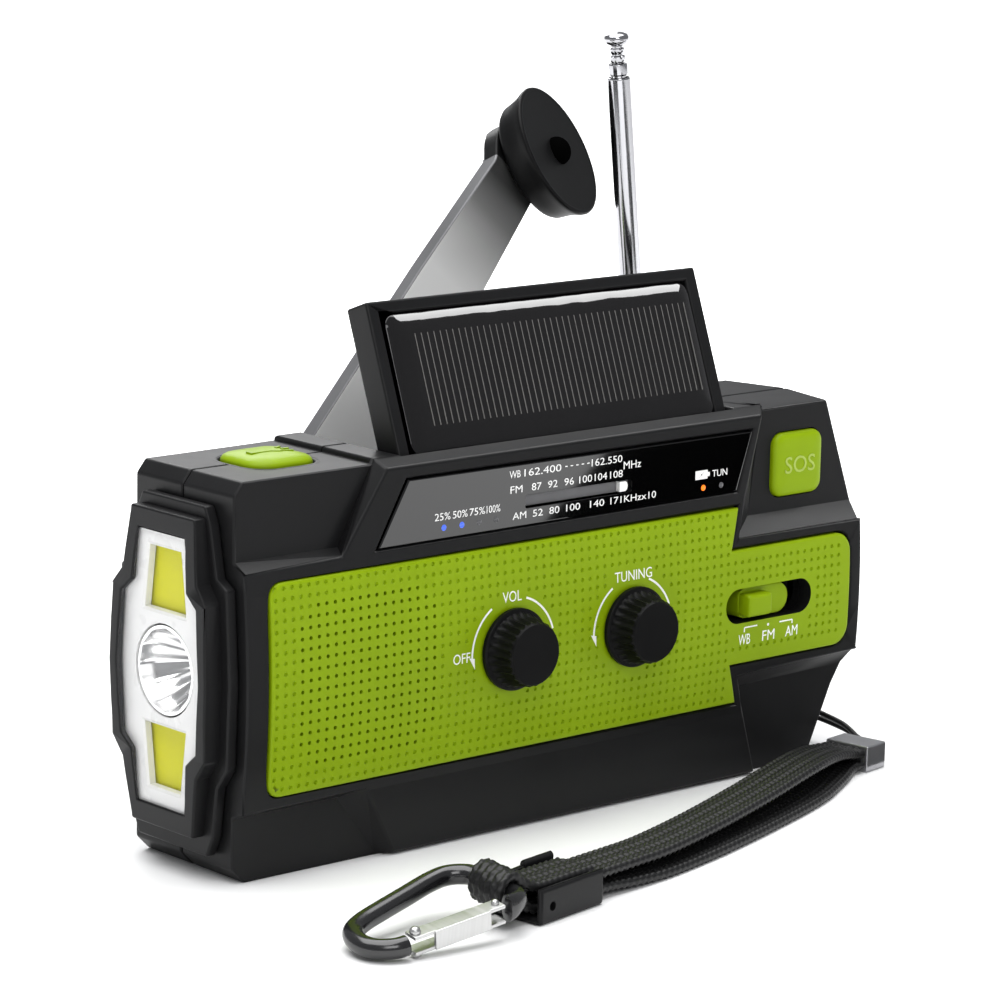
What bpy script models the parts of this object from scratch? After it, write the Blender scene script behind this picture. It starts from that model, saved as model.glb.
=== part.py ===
"""Emergency radio: torch, solar panel, hand crank, telescopic antenna and a wrist strap with a carabiner.

X runs along the radio with the torch end at -X, Y runs from the front (-Y) to the back, Z is up.
The origin is the middle of the case's underside. Lengths are in millimetres until a mesh is made.
"""
import math

import bmesh
import bpy
from mathutils import Matrix, Vector

MM = 0.001
GAP = 0.3

# Case
LEFT = -81.2
BELT_RIGHT = 81.2
MID_BULGE = 3.5
HEIGHT = 76.0
PLATFORM_TOP = 77.0
BLOCK_FACE = 15.0
BELT_FACE = 18.0
BELT_LOW, BELT_HIGH = 14.0, 60.0
BELT_BULGE = 1.4
WALL = 2.4
FRONT_END, REAR_START = 0.35, 0.65
HOUSING_BACK = 25.0

# Front controls
KNOB_Z = 37.0
VOLUME_X, TUNING_X = -16.9, 15.0
SPEAKER = (-52.6, 37.0)
SLOT = (53.2, 36.9)
SLOT_LENGTH, SLOT_HEIGHT = 24.5, 7.2
SOS = (64.3, 63.8)
SOS_SIZE = (14.0, 13.2)
TORCH_BUTTON = (-62.0, 0.0)
TORCH_BUTTON_SIZE = 15.0
POINTER = (13.4, 65.05)

# Torch
TORCH_Z = 38.8
TORCH_WALL_X = -81.2

# Solar panel
PANEL_AXIS = (-11.5, 73.7)
PANEL_LEFT, PANEL_RIGHT = -41.1, 45.2
PANEL_THICK = 6.3
PANEL_REACH = 31.7
PANEL_OPEN = math.radians(69.5)

# Antenna
ANTENNA = (52.4, 19.0, 65.0)
ANTENNA_LEAN = math.radians(-6.4)

# Crank
CRANK = (-29.5, 52.0)
CRANK_TURN = math.radians(50.4)
CRANK_FRONT = 31.0
CRANK_THICK = 3.6
CRANK_REACH = 88.6
CRANK_TIP = 8.0
CRANK_TIP_BEND = math.radians(37.0)
CRANK_KNOB_SIDE = 5.0
PIN_Y = CRANK_FRONT + CRANK_THICK / 2

# Generator gear train: centres (X, Z) and radii
DRIVE_RADIUS, IDLER_PINION, IDLER_WHEEL, GENERATOR_PINION = 13.0, 4.0, 11.0, 3.0
IDLER = (-17.2, 39.7)
GENERATOR = (-7.2, 29.3)

# Strap, lying on the table in front of the case
LOCK = (-44.8, -61.2)
LOCK_TURN = math.radians(10.2)
LOCK_SIZE = (19.0, 13.0, 6.8)
CLIP = (74.2, -25.8)
CLIP_TURN = math.radians(9.5)
CLIP_SIZE = (6.8, 10.5, 5.5)
BAND_WIDTH, BAND_THICK = 10.4, 1.5

BLACK = (0.022, 0.022, 0.023)
GREEN = (0.37, 0.55, 0.02)


# ---------------------------------------------------------------- materials and mesh helpers
def material(name, colour, roughness=0.5, metallic=0.0):
    found = bpy.data.materials.get(name)
    if found:
        return found
    made = bpy.data.materials.new(name)
    made.use_nodes = True
    shader = made.node_tree.nodes["Principled BSDF"]
    shader.inputs["Base Color"].default_value = (*colour, 1.0)
    shader.inputs["Roughness"].default_value = roughness
    shader.inputs["Metallic"].default_value = metallic
    return made


def shell_black(name):
    return material(name, BLACK, 0.45)


def add_object(name, vertices, faces, look, smooth=False):
    """A closed mesh from points in millimetres, with its faces turned outwards."""
    mesh = bpy.data.meshes.new(name)
    mesh.from_pydata([Vector(v) * MM for v in vertices], [], faces)
    shape = bmesh.new()
    shape.from_mesh(mesh)
    bmesh.ops.recalc_face_normals(shape, faces=shape.faces)
    shape.to_mesh(mesh)
    shape.free()
    made = bpy.data.objects.new(name, mesh)
    bpy.context.collection.objects.link(made)
    if look:
        mesh.materials.append(look)
    if smooth:
        mesh.shade_smooth()
        mesh.set_sharp_from_angle(angle=math.radians(35))
    return made


def loft(name, rings, look, smooth=False, closed=False):
    """Skin a row of rings that all have the same number of points."""
    count = len(rings[0])
    vertices = [point for ring in rings for point in ring]
    spans = len(rings) if closed else len(rings) - 1
    faces = []
    for i in range(spans):
        a, b = i * count, ((i + 1) % len(rings)) * count
        for j in range(count):
            k = (j + 1) % count
            faces.append((a + j, a + k, b + k, b + j))
    if not closed:
        faces.append(tuple(range(count)))
        faces.append(tuple(range(len(vertices) - count, len(vertices))))
    return add_object(name, vertices, faces, look, smooth)


def prism(name, outline, axis, low, high, look=None):
    """An outline in the plane across an axis, drawn out from low to high."""
    def at(level):
        if axis == "X":
            return [(level, a, b) for a, b in outline]
        if axis == "Y":
            return [(a, level, b) for a, b in outline]
        return [(a, b, level) for a, b in outline]
    return loft(name, [at(low), at(high)], look)


def box(name, low, high, look=None):
    outline = [(low[0], low[1]), (high[0], low[1]), (high[0], high[1]), (low[0], high[1])]
    return prism(name, outline, "Z", low[2], high[2], look)


def axes_across(direction):
    """Two unit vectors at right angles to a direction and to each other."""
    direction = Vector(direction).normalized()
    helper = Vector((0, 0, 1)) if abs(direction.z) < 0.9 else Vector((1, 0, 0))
    side = direction.cross(helper).normalized()
    return direction, side, direction.cross(side)


def turned(name, base, direction, profile, look=None, segments=32, closed=False):
    """A profile of (radius, height) pairs turned round an axis that starts at base."""
    along, side, up = axes_across(direction)
    rings = []
    for radius, height in profile:
        ring = []
        for i in range(segments):
            angle = 2 * math.pi * i / segments
            offset = (side * math.cos(angle) + up * math.sin(angle)) * radius
            ring.append(Vector(base) + along * height + offset)
        rings.append(ring)
    return loft(name, rings, look, True, closed)


def cylinder(name, base, direction, radius, length, look=None, segments=24):
    return turned(name, base, direction, [(radius, 0), (radius, length)], look, segments)


def rounded_outline(centre, size, radius, steps=5):
    """A rectangle with rounded corners, as points in its own plane."""
    points = []
    for corner, start in (((1, 1), 0), ((-1, 1), 90), ((-1, -1), 180), ((1, -1), 270)):
        middle_a = centre[0] + corner[0] * (size[0] / 2 - radius)
        middle_b = centre[1] + corner[1] * (size[1] / 2 - radius)
        for i in range(steps + 1):
            angle = math.radians(start + 90 * i / steps)
            points.append((middle_a + radius * math.cos(angle), middle_b + radius * math.sin(angle)))
    return points


def cutter(made):
    made.hide_render = True
    made.display_type = "WIRE"
    return made


def combine(target, other, operation):
    cutter(other)
    step = target.modifiers.new(other.name, "BOOLEAN")
    step.operation = operation
    step.solver = "EXACT"
    step.object = other


def cut(target, *others):
    for other in others:
        combine(target, other, "DIFFERENCE")


def join(target, *others):
    for other in others:
        combine(target, other, "UNION")


def set_origin(made, point):
    """Move an object's origin to a point without moving its shape."""
    offset = Vector(point) * MM
    made.data.transform(Matrix.Translation(-offset))
    made.location = offset


def axis_empty(name, point):
    empty = bpy.data.objects.new(name, None)
    empty.location = Vector(point) * MM
    bpy.context.collection.objects.link(empty)
    return empty


def attach(parent, *children):
    for child in children:
        child.parent = parent
        child.matrix_parent_inverse = Matrix.Translation(-parent.location)


# ---------------------------------------------------------------- case
def block_outline(bulge):
    """The case's outline from the front, with its right end moved out by a bulge."""
    return [
        (LEFT, 3.0), (LEFT + 3.0, 0.0), (70.5 + bulge, 0.0), (77.5 + bulge, 15.0), (80.2 + bulge, 19.2),
        (BELT_RIGHT + bulge, 23.0), (BELT_RIGHT + bulge, 54.1), (73.2 + bulge, HEIGHT),
        (LEFT + 2.0, HEIGHT), (LEFT, HEIGHT - 2.5),
    ]


def face_outline(face):
    """The raised front step's outline: at its face, or at its foot on the block."""
    if face:
        return [
            (LEFT, 59.5), (-58.1, 60.0), (-47.5, 75.4), (51.4, 75.4), (45.1, 50.7), (80.7, 50.7), (80.7, 22.7),
            (46.0, 22.0), (52.4, 0.6), (-44.6, 0.6), (-51.7, 14.6), (LEFT, 13.9),
        ]
    return [
        (LEFT, 61.2), (-56.8, 61.2), (-48.2, PLATFORM_TOP), (54.2, PLATFORM_TOP), (51.0, 54.2),
        (BELT_RIGHT, 54.1), (80.2, 19.2), (46.8, 18.6), (53.2, 0.0), (-46.6, 0.0), (-56.5, 12.8),
        (LEFT, 12.8),
    ]


def bulge_profile(lift, side):
    """The belt's bulged face from below the case to above it, in the Y-Z plane."""
    points = [(side * (BELT_FACE + lift), -8.0)]
    steps = 10
    for i in range(steps + 1):
        z = BELT_LOW + (BELT_HIGH - BELT_LOW) * i / steps
        swell = BELT_BULGE * (1 - (2 * i / steps - 1) ** 2)
        points.append((side * (BELT_FACE + lift + swell), z))
    points.append((side * (BELT_FACE + lift), 90.0))
    return points


def face_trim(name, lift=0.0, side=-1):
    """A cutter that leaves only what is behind the bulged face."""
    outline = bulge_profile(lift, side) + [(side * 40.0, 90.0), (side * 40.0, -8.0)]
    return prism(name, outline, "X", LEFT - 20, 100)


def cavity_outline(bulge=0.0):
    return [
        (LEFT + WALL, WALL), (69.0 + bulge, WALL), (75.2 + bulge, 16.2), (78.7 + bulge, 23.5),
        (78.7 + bulge, 53.6), (71.2 + bulge, 73.6), (48.8, 73.6), (48.8, 67.6), (-44.4, 67.6), (-44.4, 73.6),
        (LEFT + WALL, 73.6),
    ]


def panel_recess(name):
    return box(name, (PANEL_LEFT - 0.7, -BLOCK_FACE, 70.2), (PANEL_RIGHT + 0.7, 40, 90))


def side_platform(name, low_y, high_y, look):
    outline = [(-49.2, 70.0), (53.4, 70.0), (52.2, PLATFORM_TOP), (-48.2, PLATFORM_TOP)]
    return prism(name, outline, "Y", low_y, high_y, look)


def screw_places():
    return ((-73.5, 7.0), (-73.5, 70.0), (61.6, 6.6), (74.8, 52.5))


def make_front_cover():
    black = shell_black("front_cover_plastic")
    face, foot = face_outline(True), face_outline(False)
    rings = [[(x, y, z) for x, z in outline]
             for outline, y in ((foot, -BLOCK_FACE + 1), (foot, -BLOCK_FACE), (face, -BELT_FACE), (face, -22.0))]
    cover = loft("front_cover", [
        [(x, -BLOCK_FACE, z) for x, z in block_outline(0.0)],
        [(x, FRONT_END, z) for x, z in block_outline(MID_BULGE)],
    ], black)
    step = loft("front_step", rings, black)
    cut(step, face_trim("front_face_trim"))
    join(cover, side_platform("front_platform", -BLOCK_FACE, FRONT_END, black), step)
    cut(cover, prism("front_cavity", cavity_outline(), "Y", -12.8, 5.0))
    cut(cover, box("belt_cavity", (LEFT + WALL, -14.6, 17.5), (77.5, -12.0, 56.5)))
    cut(cover, panel_recess("front_panel_recess"))
    cut(cover, prism("grille_recess", grille_outline(0.0), "Y", -30, -16.4))
    cut(cover, prism("window_recess", window_outline(0.0), "Y", -30, -16.5))
    cut(cover, box("pointer_slot", (-13.4, -18, 62.8), (16.0, -10, 67.3)))
    cut(cover, cylinder("speaker_port", (SPEAKER[0], -20, SPEAKER[1]), (0, 1, 0), 16.0, 10))
    for name, x in (("volume_hole", VOLUME_X), ("tuning_hole", TUNING_X)):
        cut(cover, cylinder(name, (x, -20, KNOB_Z), (0, 1, 0), 3.6, 10))
    cut(cover, prism("slider_hole", rounded_outline(SLOT, (SLOT_LENGTH, SLOT_HEIGHT), 3.5), "Y", -20, -10))
    hole = (SOS_SIZE[0] + 2 * GAP, SOS_SIZE[1] + 2 * GAP)
    cut(cover, prism("sos_hole", rounded_outline(SOS, hole, 2.9), "Y", -20, -10))
    cut(cover, torch_button_hole("front_torch_button_hole"), torch_opening("front_torch_opening"))
    for i, (x, z) in enumerate(screw_places()):
        post = cylinder(f"post_{i}", (x, -13.5, z), (0, 1, 0), 3.0, 13.5 + FRONT_END, black, 16)
        join(cover, post)
        cut(cover, cylinder(f"post_hole_{i}", (x, -9, z), (0, 1, 0), 1.6, 12, None, 12))
    for x in (PANEL_LEFT - 2.5, PANEL_RIGHT - 1.5):
        axle = cylinder(f"panel_bearing_{x:.0f}", (x, *PANEL_AXIS), (1, 0, 0), 1.8, 4.0, None, 16)
        cut(cover, axle)
    return cover


def torch_button_hole(name):
    size = TORCH_BUTTON_SIZE + 2 * GAP
    return prism(name, rounded_outline(TORCH_BUTTON, (size, size), 4.8), "Z", 70, 90)


def torch_pocket_outline(inset):
    levels = [(8.6, 11.0 + inset), (10.2, 20.2), (12.9, 24.6), (13.5, 38.8), (12.9, 53.0), (10.2, 57.0),
              (8.8, 67.0 - inset)]
    return notched_outline([(half - inset, z) for half, z in levels])


def torch_opening(name):
    return prism(name, torch_pocket_outline(0.0), "X", LEFT - 5, LEFT + WALL + 1)


def make_rear_cover():
    black = shell_black("rear_cover_plastic")
    cover = loft("rear_cover", [
        [(x, REAR_START, z) for x, z in block_outline(MID_BULGE)],
        [(x, BLOCK_FACE, z) for x, z in block_outline(0.0)],
    ], black)
    belt_foot = [(LEFT, 12.8), (80.2, 18.6), (81.2, 23.0), (81.2, 54.1), (80.0, 61.2), (LEFT, 61.2)]
    belt_face = [(LEFT, 14.6), (79.8, 20.4), (80.7, 23.4), (80.7, 53.6), (79.4, 59.5), (LEFT, 59.5)]
    belt = loft("rear_belt", [[(x, y, z) for x, z in outline] for outline, y in
                              ((belt_foot, 14.0), (belt_foot, BLOCK_FACE), (belt_face, BELT_FACE))], black)
    foot = rounded_outline((-10.0, 36.0), (104.0, 47.0), 7.0, 3)
    face = rounded_outline((-10.0, 36.0), (99.0, 42.0), 6.0, 3)
    housing = loft("crank_housing", [[(x, y, z) for x, z in outline] for outline, y in
                                     ((foot, 14.5), (foot, 20.0), (face, HOUSING_BACK))], black)
    join(cover, side_platform("rear_platform", REAR_START, BLOCK_FACE, black), belt, housing)
    cut(cover, prism("rear_cavity", cavity_outline(), "Y", -5, 12.8))
    cut(cover, prism("housing_cavity", rounded_outline((-10.0, 36.0), (96.0, 39.0), 5.0, 3), "Y", 12, 22.6))
    eye_block = box("eye_block", (65.6, 1.5, 1.5), (77.0, 12.5, 15.5), black)
    trim = block_outline(2.0)
    join(cover, intersected(eye_block, prism("eye_block_trim", trim, "Y", -5, 20)))
    eye = box("lanyard_pocket", (68.4, 3.4, 5.2), (90, 10.8, 12.8))
    cut(eye, cylinder("lanyard_bar", (72.8, 2, 9.0), (0, 1, 0), 1.1, 10, None, 16))
    cut(cover, eye)
    cut(cover, panel_recess("rear_panel_recess"))
    cut(cover, torch_button_hole("rear_torch_button_hole"), torch_opening("rear_torch_opening"))
    cut(cover, cylinder("shaft_hole", (CRANK[0], 20, CRANK[1]), (0, 1, 0), 2.7, 10))
    cut(cover, box("port_recess", (45.0, 16.6, 22.0), (73.0, 30, 42.0)))
    cut(cover, box("port_window", (50.4, 10, 27.2), (66.0, 30, 34.8)))
    for i, (x, z) in enumerate(screw_places()):
        cut(cover, cylinder(f"screw_hole_{i}", (x, 10, z), (0, 1, 0), 1.6, 10, None, 12))
        cut(cover, cylinder(f"screw_head_hole_{i}", (x, 13.9, z), (0, 1, 0), 3.0, 10, None, 16))
    return cover


def intersected(target, other):
    combine(target, other, "INTERSECT")
    return target


def grille_outline(inset):
    """The green panel's outline: a long field with a shorter tab on its right."""
    left, right = -76.0 + inset, 77.4 - inset
    top, bottom = 57.4 - inset, 16.1 + inset
    tab_top, tab_bottom = 48.8 - inset, 24.4 + inset
    corners = [(right - 4, tab_top - 4, 0), (left + 3, top - 3, 90), (left + 3, bottom + 3, 180),
               (right - 4, tab_bottom + 4, 270)]
    radii = (4, 3, 3, 4)
    arcs = []
    for (x, z, start), radius in zip(corners, radii):
        arcs.append([(x + radius * math.cos(math.radians(start + 90 * i / 4)),
                      z + radius * math.sin(math.radians(start + 90 * i / 4))) for i in range(5)])
    upper_step = [(42.9 - inset, tab_top), (45.1 - inset, top)]
    lower_step = [(45.8 - inset, bottom), (43.3 - inset, tab_bottom)]
    return arcs[0] + upper_step + arcs[1] + arcs[2] + lower_step + arcs[3]


def window_outline(inset):
    return [(-49.8 + inset * 1.6, 60.1 + inset), (45.0 - inset * 1.2, 60.3 + inset),
            (48.9 - inset * 1.2, 72.7 - inset), (-42.6 + inset, 73.0 - inset)]


def make_grille():
    green = material("grille_green", GREEN, 0.42)
    grille = prism("grille", grille_outline(GAP), "Y", -24, -16.4 - GAP, green)
    cut(grille, face_trim("grille_trim", 0.4))
    for name, x in (("volume_grille_hole", VOLUME_X), ("tuning_grille_hole", TUNING_X)):
        cut(grille, cylinder(name, (x, -26, KNOB_Z), (0, 1, 0), 3.6, 14))
    slot = rounded_outline(SLOT, (SLOT_LENGTH, SLOT_HEIGHT), 3.5)
    cut(grille, prism("slider_grille_hole", slot, "Y", -26, -10))
    return grille


def make_window():
    gloss = material("window_gloss", (0.006, 0.006, 0.007), 0.05)
    window = prism("dial_window", window_outline(GAP), "Y", -18.1, -16.5 - GAP, gloss)
    cut(window, prism("pointer_track", rounded_outline((1.5, POINTER[1]), (28.6, 2.8), 0.4, 2), "Y", -20, -15))
    return window


def make_pointer():
    white = material("pointer_white", (0.9, 0.9, 0.88), 0.4)
    x, z = POINTER
    pointer = box("dial_pointer", (x - 1.1, -17.8, z - 1.0), (x + 1.1, -9.4, z + 1.0), white)
    join(pointer, box("pointer_carriage", (x - 4, -12.3, z - 2.4), (x + 4, -9.4, z + 1.9), white))
    return pointer


# ---------------------------------------------------------------- knobs, slider and buttons
def make_knob(name, x):
    black = material("knob_black", (0.016, 0.016, 0.017), 0.5)
    profile = [(8.1, 0.0), (8.1, 1.1), (7.2, 1.9), (6.7, 2.9), (6.5, 5.9), (5.9, 6.6), (4.6, 6.6)]
    outer = turned(name, (x, -20.1, KNOB_Z), (0, -1, 0), profile, black, 40)
    cut(outer, cylinder(f"{name}_bore", (x, -19.0, KNOB_Z), (0, -1, 0), 3.3, 5.8, None, 20))
    return outer


def make_knob_shaft(name, x):
    steel = material("shaft_steel", (0.6, 0.6, 0.6), 0.3, 1.0)
    return cylinder(name, (x, -14.5, KNOB_Z), (0, -1, 0), 3.0, 9.9, steel, 20)


def make_volume_control():
    metal = material("control_metal", (0.5, 0.5, 0.48), 0.35, 1.0)
    return cylinder("volume_control", (VOLUME_X, -14.2, KNOB_Z), (0, 1, 0), 8.0, 6.9, metal, 28)


def make_tuning_capacitor():
    case = material("capacitor_case", (0.75, 0.74, 0.68), 0.4)
    return box("tuning_capacitor", (TUNING_X - 8, -14.2, KNOB_Z - 8), (TUNING_X + 8, -7.3, KNOB_Z + 8), case)


def make_slider():
    """A plate with a rounded right end and a square grip on its left end."""
    green = material("slider_green", GREEN, 0.42)
    x, z = SLOT
    outline = [(x + 3.9 + 3.2 * math.cos(math.radians(t)), z + 3.2 * math.sin(math.radians(t)))
               for t in range(-90, 91, 15)]
    outline += [(x - 5.7, z + 3.2), (x - 6.8, z + 2.7), (x - 7.3, z + 1.6),
                (x - 7.3, z - 1.6), (x - 6.8, z - 2.7), (x - 5.7, z - 3.2)]
    slider = prism("band_slider", outline, "Y", -18.2, -16.9, green)
    join(slider, prism("slider_grip", rounded_outline((x - 3.7, z - 0.1), (6.8, 4.6), 0.6, 2), "Y", -21.3, -17.6))
    join(slider, box("slider_stem", (x - 1.5, -17.2, z - 1.5), (x + 1.5, -12.6, z + 1.5)))
    return slider


def make_band_switch():
    black = material("switch_black", (0.02, 0.02, 0.02), 0.4)
    x, z = SLOT
    switch = box("band_switch", (x - 11.0, -14.2, z - 4.5), (x + 11.0, -7.4, z + 4.5), black)
    cut(switch, box("switch_slot", (x - 6.5, -15, z - 1.9), (x + 6.5, -10.6, z + 1.9)))
    return switch


def make_sos_button():
    green = material("sos_green", GREEN, 0.42)
    button = prism("sos_button", rounded_outline(SOS, SOS_SIZE, 2.6), "Y", -16.5, -12.2, green)
    flange = rounded_outline(SOS, (SOS_SIZE[0] + 1.6, SOS_SIZE[1] + 0.6), 2.0, 2)
    join(button, prism("sos_flange", flange, "Y", -12.4, -11.4))
    return button


def make_torch_button():
    green = material("torch_button_green", GREEN, 0.42)
    size = TORCH_BUTTON_SIZE
    button = prism("torch_button", rounded_outline(TORCH_BUTTON, (size, size), 4.5), "Z", 73.0, 77.4, green)
    flange = rounded_outline(TORCH_BUTTON, (size + 2.2, size + 2.2), 3.0, 2)
    join(button, prism("torch_button_flange", flange, "Z", 72.2, 73.2))
    return button


# ---------------------------------------------------------------- torch
def notched_outline(levels):
    """A shape that is the same on both sides of Y=0, from (half width, Z) pairs listed upwards."""
    return [(half, z) for half, z in levels] + [(-half, z) for half, z in reversed(levels)]


def torch_face_trim(name, lift):
    points = [(-86.3 - lift, 0.0)]
    for i in range(9):
        t = i / 4 - 1
        points.append((-86.3 - lift - 1.3 * (1 - t * t), TORCH_Z + 29 * t))
    points += [(-86.3 - lift, 78.0), (-100, 78.0), (-100, 0.0)]
    return prism(name, points, "Y", -30, 30)


def make_torch_bezel():
    black = shell_black("torch_bezel_plastic")
    flange = notched_outline([(10.6, 5.0), (12.4, 9.0), (13.6, 18.6), (16.6, 22.6), (17.3, 38.8), (16.2, 56.4),
                              (13.2, 58.2), (11.2, 68.0), (9.6, 71.2)])
    plate = notched_outline([(9.4, 8.6), (11.4, 20.4), (14.2, 23.8), (14.9, 38.8), (14.2, 53.8), (11.4, 57.0),
                             (9.8, 69.0)])
    bezel = prism("torch_bezel", flange, "X", LEFT - 2.6, LEFT - GAP, black)
    front = prism("torch_frame", plate, "X", -92, LEFT - 2.0, black)
    cut(front, torch_face_trim("torch_frame_trim", 0.0))
    join(bezel, front)
    cut(bezel, prism("torch_window", torch_opening_outline(0.0), "X", -100, -85.6))
    cut(bezel, prism("torch_pocket", torch_pocket_outline(0.0), "X", -86.0, -70))
    return bezel


def torch_opening_outline(inset):
    levels = [(7.3, 12.8 + inset), (8.2, 22.6), (11.4, 25.2), (12.5, 38.8), (11.4, 52.4), (8.2, 55.0),
              (7.1, 65.0 - inset)]
    return notched_outline([(half - inset, z) for half, z in levels])


def make_torch_lens():
    clear = material("lens_clear", (0.85, 0.88, 0.9), 0.03)
    lens = prism("torch_lens", torch_opening_outline(GAP), "X", -92, -86.0, clear)
    cut(lens, torch_face_trim("torch_lens_trim", 0.2))
    return lens


def led_window(z, upward, inset):
    """A COB panel's outline: a trapezoid that widens towards the torch's middle."""
    outer, inner = 5.2 - inset, 6.8 - inset
    near, far = z - upward * (6.5 - inset), z + upward * (6.5 - inset)
    return [(-inner, near), (inner, near), (outer, far), (-outer, far)]


def make_reflector_plate():
    white = material("reflector_white", (0.86, 0.86, 0.85), 0.25)
    plate = prism("torch_reflector_plate", torch_pocket_outline(GAP), "X", -85.7, -84.2, white)
    cut(plate, cylinder("cup_hole", (-90, 0, TORCH_Z), (1, 0, 0), 8.9, 12, None, 32))
    cut(plate, prism("upper_window", led_window(56.0, 1, 0), "X", -90, -80))
    cut(plate, prism("lower_window", led_window(22.0, -1, 0), "X", -90, -80))
    return plate


def make_torch_cup():
    chrome = material("cup_chrome", (0.9, 0.9, 0.9), 0.06, 1.0)
    steps = 6
    outer, inner = [], []
    for i in range(steps + 1):
        t = i / steps
        outer.append((8.5 - 4.6 * t ** 1.6, 9.0 * t))
        inner.append((8.0 - 5.2 * t ** 1.6, 9.0 * t))
    profile = outer + list(reversed(inner))
    return turned("torch_cup", (-85.4, 0, TORCH_Z), (1, 0, 0), profile, chrome, 32, True)


def make_torch_led():
    glow = material("torch_led_glow", (0.95, 0.9, 0.6), 0.2)
    return cylinder("torch_led", (-76.6, 0, TORCH_Z), (1, 0, 0), 2.2, 2.4, glow, 16)


def make_cob_leds():
    yellow = material("cob_yellow", (0.85, 0.72, 0.02), 0.4)
    top = prism("cob_led_top", led_window(56.0, 1, -0.5), "X", -83.6, -82.8, yellow)
    bottom = prism("cob_led_bottom", led_window(22.0, -1, -0.5), "X", -83.6, -82.8, yellow)
    return top, bottom


# ---------------------------------------------------------------- inside the case
def make_speaker():
    steel = material("speaker_steel", (0.35, 0.35, 0.36), 0.4, 1.0)
    x, z = SPEAKER
    profile = [(18.0, 0.0), (18.0, 1.2), (11.0, 5.4), (11.0, 6.4), (4.0, 6.4), (4.0, 5.4), (9.0, 4.4), (16.6, 0.0)]
    basket = turned("speaker_basket", (x, -14.3, z), (0, 1, 0), profile, steel, 28, True)
    black = material("magnet_black", (0.05, 0.05, 0.05), 0.4)
    magnet = cylinder("speaker_magnet", (x, -14.3 + 6.4 + GAP, z), (0, 1, 0), 9.5, 4.0, black, 24)
    paper = material("cone_paper", (0.03, 0.03, 0.03), 0.9)
    cone = turned("speaker_cone", (x, -14.3, z), (0, 1, 0),
                  [(15.6, 0.2), (3.6, 3.9), (3.6, 3.3), (15.6, -0.2)], paper, 28, True)
    cap = cylinder("speaker_cap", (x, -14.3 + 3.2, z), (0, 1, 0), 4.0, 0.8, paper, 28)
    join(cone, cap)
    return basket, magnet, cone


def make_main_board():
    green = material("board_green", (0.02, 0.16, 0.06), 0.4)
    return box("main_board", (-31.0, -7.0, 23.5), (71.2, -5.4, 65.8), green)


def make_battery():
    wrap = material("battery_wrap", (0.05, 0.16, 0.4), 0.35)
    return cylinder("battery", (-9.0, 3.3, 12.6), (1, 0, 0), 9.1, 65.0, wrap, 28)


def make_siren():
    black = material("siren_black", (0.02, 0.02, 0.02), 0.4)
    return turned("siren", (64.0, -4.9, 45.0), (0, 1, 0), [(9.0, 0), (9.0, 4.5), (1.4, 4.5), (1.4, 3.4)], black, 24)


def make_ferrite_rod():
    ferrite = material("ferrite_grey", (0.09, 0.08, 0.08), 0.6)
    return cylinder("ferrite_rod", (-8.0, 5.5, 61.5), (1, 0, 0), 4.0, 50.0, ferrite, 20)


def make_usb_socket():
    steel = material("socket_steel", (0.7, 0.7, 0.7), 0.25, 1.0)
    socket = box("usb_socket", (51.0, 2.5, 27.8), (65.4, 16.2, 34.2), steel)
    cut(socket, box("socket_mouth", (51.6, 5.0, 28.4), (64.8, 20, 33.6)))
    return socket


def make_port_cover():
    rubber = material("cover_rubber", (0.02, 0.02, 0.02), 0.8)
    cover = box("port_cover", (45.4, 17.0, 23.2), (72.6, 18.6, 41.6), rubber)
    join(cover, cylinder("cover_barrel", (45.4, 18.0, 23.4), (1, 0, 0), 1.0, 27.2, None, 14))
    return cover


def make_screws():
    steel = material("screw_steel", (0.25, 0.25, 0.26), 0.35, 1.0)
    screws = []
    for i, (x, z) in enumerate(screw_places()):
        profile = [(2.6, 0.0), (2.6, 1.0), (1.2, 1.0), (1.2, 11.0)]
        screws.append(turned(f"cover_screw_{i + 1}", (x, 15.2, z), (0, -1, 0), profile, steel, 12))
    return screws


def gear_outline(centre, radius, teeth):
    """A toothed wheel's outline with shallow straight teeth."""
    points = []
    for i in range(teeth * 4):
        reach = radius if i % 4 in (0, 1) else radius - 0.9
        angle = 2 * math.pi * (i + 0.15) / (teeth * 4)
        points.append((centre[0] + reach * math.cos(angle), centre[1] + reach * math.sin(angle)))
    return points


def make_generator():
    metal = material("generator_metal", (0.55, 0.55, 0.56), 0.3, 1.0)
    steel = material("gear_plastic", (0.8, 0.8, 0.75), 0.5)
    x, z = GENERATOR
    can = cylinder("generator", (x, 12.7, z), (0, 1, 0), 12.0, 9.6, metal, 28)
    pinion = prism("generator_pinion", gear_outline(GENERATOR, GENERATOR_PINION, 8), "Y", 3.8, 8.4, steel)
    join(pinion, cylinder("generator_spindle", (x, 6, z), (0, 1, 0), 1.0, 6.4, steel, 12))
    wheel = prism("idler_gear", gear_outline(IDLER, IDLER_WHEEL, 24), "Y", 4.4, 7.4, steel)
    join(wheel, prism("idler_pinion", gear_outline(IDLER, IDLER_PINION, 10), "Y", 7.0, 12.2, steel))
    cut(wheel, cylinder("idler_bore", (IDLER[0], 0, IDLER[1]), (0, 1, 0), 1.2, 20, None, 12))
    drive = prism("drive_gear", gear_outline(CRANK, DRIVE_RADIUS, 28), "Y", 8.2, 11.6, steel)
    cut(drive, cylinder("drive_bore", (CRANK[0], 0, CRANK[1]), (0, 1, 0), 2.6, 20, None, 16))
    for gear, centre in ((pinion, GENERATOR), (wheel, IDLER), (drive, CRANK)):
        set_origin(gear, (centre[0], 8.0, centre[1]))
    return can, pinion, wheel, drive


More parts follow.
